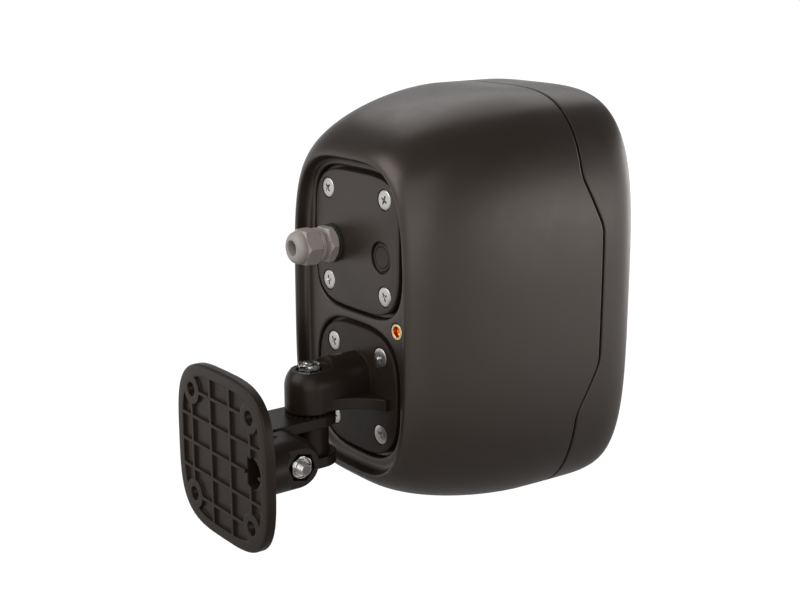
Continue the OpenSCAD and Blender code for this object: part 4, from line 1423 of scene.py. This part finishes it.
@dataclass
class Grille:
    """The perforated front sheet, bowed across its width, in millimetres."""

    half_w: float = 61.6
    half_h: float = 95.1
    front: float = 127.0
    bow_r: float = 420.0
    thickness: float = 1.2
    pitch: float = 3.6
    hole_r: float = 1.2
    border: float = 3.2
    square: float = 3.7

    def inside(self, x: float, y: float) -> bool:
        """Whether a hole at this place keeps clear of the sheet's edge.

        Args:
            x: Its x.
            y: Its height above the centre.

        Returns:
            True where there is a hole.
        """
        margin = self.border + self.pitch / 2
        a, b = self.half_w - margin, self.half_h - margin
        return (abs(x) / a) ** self.square + (abs(y) / b) ** self.square < 1

    def tile(self, bm: bmesh.types.BMesh, x: float, y: float) -> None:
        """Adds one six-sided tile with its hole.

        Args:
            bm: The mesh that gets it.
            x: x of its centre.
            y: Height of its centre.
        """
        hole, rim = [], []
        for k in range(12):
            angle = math.radians(30 * k)
            out = self.pitch / 2 if k % 2 == 0 else self.pitch / math.sqrt(3)
            hole.append(
                Vector((x + self.hole_r * math.cos(angle), y + self.hole_r * math.sin(angle), 0))
            )
            rim.append(Vector((x + out * math.cos(angle), y + out * math.sin(angle), -0.05)))
        edges = add_ring(bm, hole) + add_ring(bm, rim)
        bmesh.ops.bridge_loops(bm, edges=edges)
        for vert in bm.verts:
            vert.co.z = 0.0

    def build(self, cabinet: Cabinet) -> None:
        """Tiles the sheet, fills its border, thickens it and bows it.

        Args:
            cabinet: The cabinet.
        """
        one = bmesh.new()
        self.tile(one, 0.0, 0.0)
        tile_mesh = bpy.data.meshes.new("tile")
        one.to_mesh(tile_mesh)
        one.free()
        bm = bmesh.new()
        row = self.pitch * math.sqrt(3) / 2
        for r in range(-int(self.half_h / row), int(self.half_h / row) + 1):
            for c in range(-int(self.half_w / self.pitch) - 1, int(self.half_w / self.pitch) + 2):
                x, y = (c + 0.5 * (r % 2)) * self.pitch, r * row
                if not self.inside(x, y):
                    continue
                bm.from_mesh(tile_mesh)
                bm.verts.ensure_lookup_table()
                bmesh.ops.translate(bm, vec=(x, y, 0), verts=bm.verts[-24:])
        bpy.data.meshes.remove(tile_mesh)
        bmesh.ops.remove_doubles(bm, verts=bm.verts, dist=0.02)
        loose = [e for e in bm.edges if len(e.link_faces) == 1]
        holes = self.hole_edges(loose)
        outer = [e for e in loose if e not in holes]
        outline = add_ring(
            bm,
            [
                Vector((x, y, 0))
                for x, y in rounded_square(self.half_w, self.half_h, self.square, 240)
            ],
        )
        bmesh.ops.triangle_fill(bm, edges=outer + outline, use_beauty=True, normal=(0, 0, 1))
        bmesh.ops.recalc_face_normals(bm, faces=bm.faces)
        bmesh.ops.solidify(bm, geom=bm.faces[:], thickness=self.thickness)
        low = min(v.co.z for v in bm.verts)
        for vert in bm.verts:
            bow = self.bow_r - math.sqrt(self.bow_r**2 - vert.co.x**2)
            depth = self.front - self.thickness - bow + (vert.co.z - low)
            vert.co = cabinet.place(vert.co.x, vert.co.y, depth)
        bmesh.ops.recalc_face_normals(bm, faces=bm.faces)
        sheet = new_object(bm, "grille_sheet", 40.0)
        fit(sheet, "speaker", Look.GRILLE, ["grille"])

    def hole_edges(self, loose: Sequence[bmesh.types.BMEdge]) -> set[bmesh.types.BMEdge]:
        """The open edges that are sides of a hole: they are all one short length."""
        side = 2 * self.hole_r * math.sin(math.radians(15))
        return {e for e in loose if abs(e.calc_length() - side) < 0.03}


@dataclass
class Fasteners:
    """Screws, bolts and nuts, in millimetres."""

    face_y: float = -77.0
    cover_z: float = 92.0
    cover_pitch: float = 46.0
    plate_z: float = 19.2
    plate_pitch: float = 38.6
    screw_r: float = 2.5
    head_r: float = 4.8
    head_t: float = 2.2
    screw_l: float = 12.0
    bolt_r: float = 3.0
    across_flats: float = 10.0
    bolt_head_t: float = 4.0
    nut_t: float = 5.0
    link_half: float = 12.5
    seat_z: float = 33.5
    bolt_tail: float = 1.2
    nut_proud: float = 2.4
    tooth_gap: float = 0.3
    tilt_y: float = -23.0
    pan_y: float = -49.3

    def at(self, x: float, y: float, z: float, facing: Facing, turn: float = 0.0) -> Matrix:
        """Places a fastener that is built outward along its own +z."""
        move = Matrix.Translation(Vector((x, y, z)) * MM)
        return move @ facing.value @ Matrix.Rotation(math.radians(turn), 4, "Z")

    def pan_head_screw(self, place: Matrix) -> bpy.types.Object:
        """One pan head screw with a cross recess, its rim level with z = 0.

        Args:
            place: Where it goes.

        Returns:
            The screw.
        """
        profile = [(0, 0.16), (1.6, 0.15), (3.0, 0.11), (4.0, 0.04), (4.5, -0.06)]
        profile += [(4.72, -0.2), (self.head_r, -0.5), (self.head_r, -self.head_t)]
        profile += [(self.screw_r, -self.head_t), (self.screw_r, -self.head_t - self.screw_l + 1)]
        profile += [(self.screw_r - 0.8, -self.head_t - self.screw_l)]
        profile += [(0, -self.head_t - self.screw_l)]
        head = new_object(spun(profile, 48, Matrix.Identity(4)), "screw_head")
        for angle in (0, 90):
            slot = bmesh.new()
            bmesh.ops.create_cube(slot, size=1.0)
            bmesh.ops.scale(slot, vec=(6.2 * MM, 1.2 * MM, 3.4 * MM), verts=slot.verts)
            for vert in slot.verts:
                if vert.co.z < 0:
                    vert.co.x *= 0.45
                    vert.co.y *= 0.7
            bmesh.ops.rotate(
                slot, cent=(0, 0, 0), matrix=Matrix.Rotation(math.radians(angle), 3, "Z"),
                verts=slot.verts,
            )
            cut(head, new_object(slot, "slot_tool"))
        core = spun([(0, -2.1), (0.4, -2.0), (1.35, 0.9), (0, 0.9)], 16, Matrix.Identity(4))
        cut(head, new_object(core, "core_tool"))
        resharpen(head)
        head.data.transform(place)
        return head

    def screw_set(
        self, name: str, node: str, z: float, pitch: float, turns: Sequence[float]
    ) -> None:
        """Four pan head screws at the corners of a square.

        Args:
            name: The set's name.
            node: The CAD node that it replaces.
            z: Height of the middle.
            pitch: Side of the square.
            turns: Turn of each cross, in degrees.
        """
        parts = []
        corners = [(-1, -1), (-1, 1), (1, -1), (1, 1)]
        for (sx, sz), turn in zip(corners, turns):
            place = self.at(
                sx * pitch / 2, self.face_y, z + sz * pitch / 2, Facing.WALL, turn
            )
            parts.append(self.pan_head_screw(place))
        fit(joined(name, parts), "speaker", Look.ZINC, [node])

    def bolt_end(self, low: float, high: float) -> bpy.types.Object:
        """The threaded end of a bolt, with a chamfered tip.

        Args:
            low: Where it starts.
            high: Where it ends.

        Returns:
            The threaded end.
        """
        profile = [(0, low), (self.bolt_r, low)]
        height = low + 0.5
        while height < high - 0.9:
            profile += [(self.bolt_r, height), (self.bolt_r - 0.45, height + 0.45)]
            profile += [(self.bolt_r, height + 0.85)]
            height += 1.0
        profile += [(self.bolt_r, high - 0.75), (self.bolt_r - 0.7, high), (0, high)]
        return new_object(spun(profile, 48, Matrix.Identity(4)), "bolt_end", 25.0)

    def bolt(self, name: str, node: str, body: str, head_z: float, place: Matrix) -> None:
        """One bolt: chamfered head, shank, threaded end and a dark disc that paints a dark reflection
        on its end face.

        Args:
            name: The bolt's name.
            node: The CAD node that it replaces.
            body: The body that it rides on.
            head_z: Where its head starts.
            place: Where it goes.
        """
        end = self.seat_z + self.nut_proud + self.bolt_tail
        head = hexagon(head_z, head_z + self.bolt_head_t, self.across_flats, 0.55)
        shank = self.bolt_end(head_z + self.bolt_head_t - 0.1, end)
        made = joined(name, [head, shank])
        made.data.transform(place)
        fit(made, body, Look.BOLT, [node])
        # painted reflection: a thin disc of dark steel over the end face stands in for the dark
        # surroundings that it mirrors
        painted_dark_end = [(0, end - 0.3), (2.2, end - 0.3), (2.2, end + 0.02), (0, end + 0.02)]
        tip = new_object(spun(painted_dark_end, 32, place), name + "_tip")
        fit(tip, body, Look.DARK_STEEL)

    def nut(self, name: str, node: str, body: str, low: float, place: Matrix) -> None:
        """One locking nut: a turned-off hexagon, dished round the bolt inside a bright rim.

        Args:
            name: The nut's name.
            node: The CAD node that it replaces.
            body: The body that it rides on.
            low: Where it starts.
            place: Where it goes.
        """
        tool = spun(
            [(0, low - 1), (2.85, low - 1), (2.85, low + 9), (0, low + 9)], 48, Matrix.Identity(4)
        )
        high = low + self.nut_t
        block = hexagon(low, high, self.across_flats, 0.3)
        form = [(0, low - 1), (6.2, low - 1), (6.2, high - 1.7), (5.5, high - 0.65)]
        form += bend((5.45, high - 0.5), (5.35, high), (4.95, high - 0.05), 4)
        form += [(4.2, high - 0.6), (3.9, high - 0.3), (3.65, high - 0.05), (0, high - 0.05)]
        turned = new_object(spun(form, 64, Matrix.Identity(4)), "turned")
        cut(block, turned, "INTERSECT")
        cut(block, new_object(tool, "bore_tool"))
        resharpen(block)
        block.data.transform(place)
        block.name = name
        fit(block, body, Look.BOLT, [node])

    def build(self) -> None:
        """Makes every visible fastener."""
        self.screw_set("cover_screw_set", "cover_screws", self.cover_z, self.cover_pitch,
                       (28, 64, 12, 41))
        self.screw_set("plate_screw_set", "plate_screws", self.plate_z, self.plate_pitch,
                       (50, 17, 71, 35))
        tilt = self.at(0, self.tilt_y, 0, Facing.LEFT)
        pan = self.at(0, self.pan_y, 0, Facing.UP, 90)
        head = -self.link_half - self.tooth_gap - self.bolt_head_t
        self.bolt("tilt_clamp_bolt", "tilt_bolt", "wall_mount", head, tilt)
        self.bolt("pan_clamp_bolt", "pan_bolt", "link", -self.link_half, pan)
        self.nut("tilt_clamp_nut", "tilt_nut", "wall_mount", self.seat_z - self.nut_t, tilt)
        low = self.seat_z + self.nut_proud - self.nut_t + self.tooth_gap
        self.nut("pan_clamp_nut", "pan_nut", "link", low, pan)


@dataclass
class Gland:
    """The cable gland, built outward from the cover, in millimetres."""

    x: float = 20.0
    z: float = 88.0
    face_y: float = -77.0
    across_flats: float = 16.5
    washer_t: float = 1.2
    flange_t: float = 4.8
    collar_start: float = 8.1
    cap_start: float = 10.3
    cap_l: float = 8.8
    nose_l: float = 4.5
    hole_r: float = 3.7
    thread_r: float = 6.0
    tail: float = 9.0

    def place(self) -> Matrix:
        """Where the gland stands on the cover."""
        return Matrix.Translation(Vector((self.x, self.face_y, self.z)) * MM) @ Facing.WALL.value

    def cap(self) -> bpy.types.Object:
        """The cap: collar, hexagon with turned-off corners, and a drilled dome.

        Returns:
            The cap.
        """
        nose_r = self.across_flats / 2 - 0.2
        top = self.cap_start + self.cap_l
        end = top + self.nose_l
        cap = hexagon(self.cap_start, top, self.across_flats, 0.75)
        profile = [(0, self.collar_start), (8.1, self.collar_start)]
        profile += [(8.45, self.collar_start + 0.35), (8.45, self.cap_start - 0.3)]
        profile += [(8.2, self.cap_start + 0.1), (8.2, self.cap_start + 0.4)]
        profile += [(nose_r - 0.3, self.cap_start + 0.5), (nose_r - 0.3, top - 0.5)]
        profile += [(nose_r, top - 0.2), (nose_r, top + 0.5)]
        profile += arc((nose_r - 3.7, end - 3.7), 3.7, 6, 84, 8)
        profile += [(self.hole_r + 0.4, end), (0, end)]
        dome = new_object(spun(profile, 72, Matrix.Identity(4)), "dome")
        cut(cap, dome, "UNION")
        start = self.collar_start - 1
        bore = [(0, start), (self.thread_r - 0.15, start), (self.thread_r - 0.15, top - 0.6)]
        bore += [(self.hole_r, top - 0.6), (self.hole_r, end - 0.6), (self.hole_r + 0.4, end - 0.1)]
        bore += [(self.hole_r + 0.5, end + 1), (0, end + 1)]
        cut(cap, new_object(spun(bore, 64, Matrix.Identity(4)), "bore"))
        return cap

    def stem(self) -> bpy.types.Object:
        """The body: chamfered hexagon, grooved neck and the thread behind the cover.

        Returns:
            The body.
        """
        low, high = self.washer_t, self.washer_t + self.flange_t
        stem = hexagon(low, high, self.across_flats, 0.75)
        neck = self.thread_r + 1.2
        profile = [(0, -self.tail), (self.thread_r - 0.5, -self.tail)]
        profile += [(self.thread_r, 0.5 - self.tail), (self.thread_r, low + 0.4)]
        profile += [(neck, low + 0.6), (neck, high + 0.7), (neck - 0.5, high + 0.9)]
        profile += [(neck - 0.5, high + 1.3), (neck, high + 1.5), (neck, self.collar_start)]
        profile += [(self.thread_r - 0.2, self.collar_start + 0.1)]
        profile += [(self.thread_r - 0.2, self.cap_start + self.cap_l - 1)]
        profile += [(0, self.cap_start + self.cap_l - 1)]
        cut(stem, new_object(spun(profile, 72, Matrix.Identity(4)), "neck"), "UNION")
        bore_r, seat_r = self.hole_r + 0.6, self.thread_r - 1
        bore = [(0, -self.tail - 1), (bore_r, -self.tail - 1), (bore_r, self.cap_start)]
        bore += [(seat_r, self.cap_start), (seat_r, self.cap_start + 9), (0, self.cap_start + 9)]
        cut(stem, new_object(spun(bore, 64, Matrix.Identity(4)), "stem_bore"))
        return stem

    def build(self) -> None:
        """Makes the cap and the body and dresses both."""
        for name, node, made in (
            ("gland_dome_cap", "gland_cap", self.cap()),
            ("gland_stem", "gland_body", self.stem()),
        ):
            resharpen(made, 24.0)
            made.name = name
            made.data.transform(self.place())
            fit(made, "speaker", Look.GLAND, [node])


@dataclass
class Bracket:
    """The three bracket mouldings, in millimetres."""

    back: Outline = Outline(82.0, 82.0, 3.5)
    edge: float = 1.3
    pad_r: float = 9.8
    pocket_af: float = 12.4
    pocket_t: float = 4.0

    def build(self, fasteners: Fasteners, cabinet: Cabinet) -> None:
        """Smooth copies of the mouldings in the bracket's finish.

        Args:
            fasteners: Gives the seats of the bolts and nuts.
            cabinet: Gives the outline of the speaker's plate.
        """
        wall = merged_copy("wall_plate", "wall_plate_moulding")
        self.back.round_edge(wall, self.edge)
        seat = fasteners.seat_z
        tilt = fasteners.at(0, fasteners.tilt_y, 0, Facing.LEFT, 78)
        pocket = hexagon(seat - self.pocket_t, seat + 2, self.pocket_af, 0.0)
        pocket.data.transform(tilt)
        cut(wall, pocket)
        pad = [(0, seat + 0.01), (self.pad_r - 0.4, seat + 0.01), (self.pad_r, seat + 0.4)]
        pad += [(self.pad_r, seat + 12), (0, seat + 12)]
        cut(wall, new_object(spun(pad, 64, tilt), "pad_tool"))
        resharpen(wall, 28.0)
        link = merged_copy("link_arm", "link_arm_moulding")
        arm = merged_copy("speaker_plate", "speaker_plate_moulding")
        cabinet.plate_outline().round_edge(arm, 0.9)
        resharpen(arm, 28.0)
        for made, node, body in (
            (wall, "wall_plate", "wall_mount"),
            (link, "link_arm", "link"),
            (arm, "speaker_plate", "speaker"),
        ):
            fit(made, body, Look.BRACKET, [node])


@dataclass(frozen=True)
class SoftBox:
    """One rectangular lamp, in metres.

    Attributes:
        name: Its name.
        at: Its place.
        size: Width and height.
        watts: Its power.
    """

    name: str
    at: tuple[float, float, float]
    size: tuple[float, float]
    watts: float

    def hang(self, aim: tuple[float, float, float]) -> None:
        """Adds the lamp to the scene, facing a point.

        Args:
            aim: The point.
        """
        data = bpy.data.lights.new(self.name, "AREA")
        data.shape = "RECTANGLE"
        data.size, data.size_y = self.size
        data.energy = self.watts
        made = bpy.data.objects.new(self.name, data)
        made.location = self.at
        made.rotation_euler = (Vector(aim) - Vector(self.at)).to_track_quat("-Z", "Y").to_euler()
        bpy.context.scene.collection.objects.link(made)


@dataclass
class Stage:
    """Camera, lamps, floor and background, in metres."""

    lens: float = 61.03
    eye: tuple[float, float, float] = (-0.5192, 0.2883, 0.2236)
    right: tuple[float, float, float] = (-0.60233, -0.79825, 0.00036)
    up: tuple[float, float, float] = (0.19595, -0.14741, 0.96947)
    forward: tuple[float, float, float] = (0.77383, -0.58401, -0.24521)
    aim: tuple[float, float, float] = (0.0, -0.1, 0.05)
    sky: float = 0.22
    backdrop_top: float = 0.4
    backdrop_fade: float = 2.5
    floor_z: float = -0.32
    floor_tone: tuple[float, float, float, float] = (0.45, 0.45, 0.45, 1.0)
    shadow_reach: float = 0.6
    lamps: tuple[SoftBox, ...] = (
        SoftBox("key_box", (0.6, -0.7, 1.05), (1.1, 1.1), 4.5),
        SoftBox("rear_box", (0.3, 1.1, 0.9), (1.3, 1.0), 14.0),
        SoftBox("fill_box", (-1.2, 0.8, 0.5), (1.5, 1.4), 9.0),
        SoftBox("side_box", (-1.5, -1.0, 0.05), (1.0, 0.5), 3.5),
        SoftBox("front_box", (-0.3, -1.8, 0.1), (0.9, 0.8), 9.0),
    )

    def camera(self) -> None:
        """The camera at the photograph's place."""
        data = bpy.data.cameras.new("camera")
        data.lens = self.lens
        data.sensor_width = 36.0
        data.clip_start = 0.01
        data.clip_end = 20.0
        made = bpy.data.objects.new("camera", data)
        turn = Matrix([self.right, self.up, [-v for v in self.forward]]).transposed()
        made.matrix_world = Matrix.Translation(self.eye) @ turn.to_4x4()
        bpy.context.scene.collection.objects.link(made)
        bpy.context.scene.camera = made

    def world(self, strength: float) -> None:
        """Soft grey light; the backdrop shows white to the camera, and in metal up to its top.

        Args:
            strength: Strength of the grey light.
        """
        world = bpy.data.worlds.new("studio")
        world.use_nodes = True
        graph = Graph.on(world.node_tree)
        direct, mirrored = graph.rays()
        backdrop = ((graph.coordinate(2) - self.backdrop_top) * -self.backdrop_fade).clamped()
        seen = (mirrored * backdrop + direct).clamped()
        light = graph.node("ShaderNodeBackground", {}, {"Color": WHITE, "Strength": strength})
        plain = graph.node("ShaderNodeBackground", {}, {"Color": WHITE, "Strength": 1.0})
        mix = graph.node(
            "ShaderNodeMixShader", {}, {0: seen, 1: light.outputs[0], 2: plain.outputs[0]}
        )
        graph.node("ShaderNodeOutputWorld", {}, {0: mix.outputs[0]})
        bpy.context.scene.world = world

    def floor(self, height: float) -> None:
        """A pale floor well below the speaker, white but for the soft shadow under it.

        Args:
            height: Height of the floor.
        """
        bm = bmesh.new()
        bmesh.ops.create_circle(bm, cap_ends=True, radius=6.0, segments=64)
        bmesh.ops.translate(bm, vec=(0, 0, height), verts=bm.verts)
        floor = new_object(bm, "floor")
        material = bpy.data.materials.new("pale_floor")
        material.use_nodes = True
        graph = Graph.on(material.node_tree)
        reach = graph.node("ShaderNodeVectorMath", {"operation": "LENGTH"}, {0: graph.place})
        far = (Signal(graph, reach.outputs["Value"]) - self.shadow_reach).clamped()
        direct, mirrored = graph.rays()
        seen = (direct * (0.9 + far * 0.1) + mirrored * far).clamped()
        plain = graph.node("ShaderNodeBsdfDiffuse", {}, {"Color": self.floor_tone})
        lit = graph.node("ShaderNodeEmission", {}, {"Color": WHITE, "Strength": 1.1})
        mix = graph.node(
            "ShaderNodeMixShader", {}, {0: seen, 1: plain.outputs[0], 2: lit.outputs[0]}
        )
        graph.node("ShaderNodeOutputMaterial", {}, {0: mix.outputs[0]})
        floor.data.materials.append(material)

    def build(self) -> None:
        """Sets the whole stage."""
        self.camera()
        self.world(self.sky)
        self.floor(self.floor_z)
        for lamp in self.lamps:
            lamp.hang(self.aim)


CAD_LOOKS: dict[str, Look] = {
    "tilt_bolt": Look.BOLT,
    "tilt_nut": Look.BOLT,
    "pan_bolt": Look.BOLT,
    "pan_nut": Look.BOLT,
    "plate_screws": Look.ZINC,
    "cover_screws": Look.ZINC,
    "wall_plate": Look.BRACKET,
    "link_arm": Look.BRACKET,
    "speaker_plate": Look.BRACKET,
    "rear_cabinet": Look.CABINET,
    "front_baffle": Look.CABINET,
    "cabinet_seal": Look.RUBBER,
    "cabinet_screws": Look.DARK_STEEL,
    "grille": Look.GRILLE,
    "grille_cloth": Look.CLOTH,
    "rear_cover": Look.COVER,
    "cover_gasket": Look.RUBBER,
    "gland_washer": Look.RUBBER,
    "gland_body": Look.GLAND,
    "gland_cap": Look.GLAND,
    "gland_seal": Look.RUBBER,
    "gland_locknut": Look.GLAND,
    "blanking_plug": Look.PLUG,
    "safety_insert": Look.BRASS,
    "terminal_block": Look.TERMINAL,
    "terminal_screws": Look.ZINC,
    "crossover_board": Look.BOARD,
    "crossover_choke": Look.COPPER,
    "crossover_capacitor": Look.SLEEVE,
    "crossover_resistor": Look.CERAMIC,
    "woofer_basket": Look.BASKET,
    "woofer_top_plate": Look.BARE_STEEL,
    "woofer_magnet": Look.FERRITE,
    "woofer_yoke": Look.BARE_STEEL,
    "woofer_cone": Look.CONE,
    "woofer_surround": Look.RUBBER,
    "woofer_spider": Look.SPIDER,
    "woofer_screws": Look.DARK_STEEL,
    "tweeter_plate": Look.PLUG,
    "tweeter_dome": Look.DOME,
    "tweeter_magnet": Look.BARE_STEEL,
    "tweeter_screws": Look.DARK_STEEL,
    "damping_pad": Look.WADDING,
}


def main() -> None:
    """Builds every piece and dresses every node."""
    logging.basicConfig(level=logging.INFO, format="%(name)s: %(message)s")
    for node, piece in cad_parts.items():
        dress(piece, CAD_LOOKS.get(node, Look.CABINET))
    Stage().build()
    cabinet = Cabinet()
    cabinet.build(Inlays())
    Grille().build(cabinet)
    fasteners = Fasteners()
    fasteners.build()
    Bracket().build(fasteners, cabinet)
    Gland().build()
    bpy.context.scene.view_settings.view_transform = "Standard"


if __name__ == "__main__":
    main()
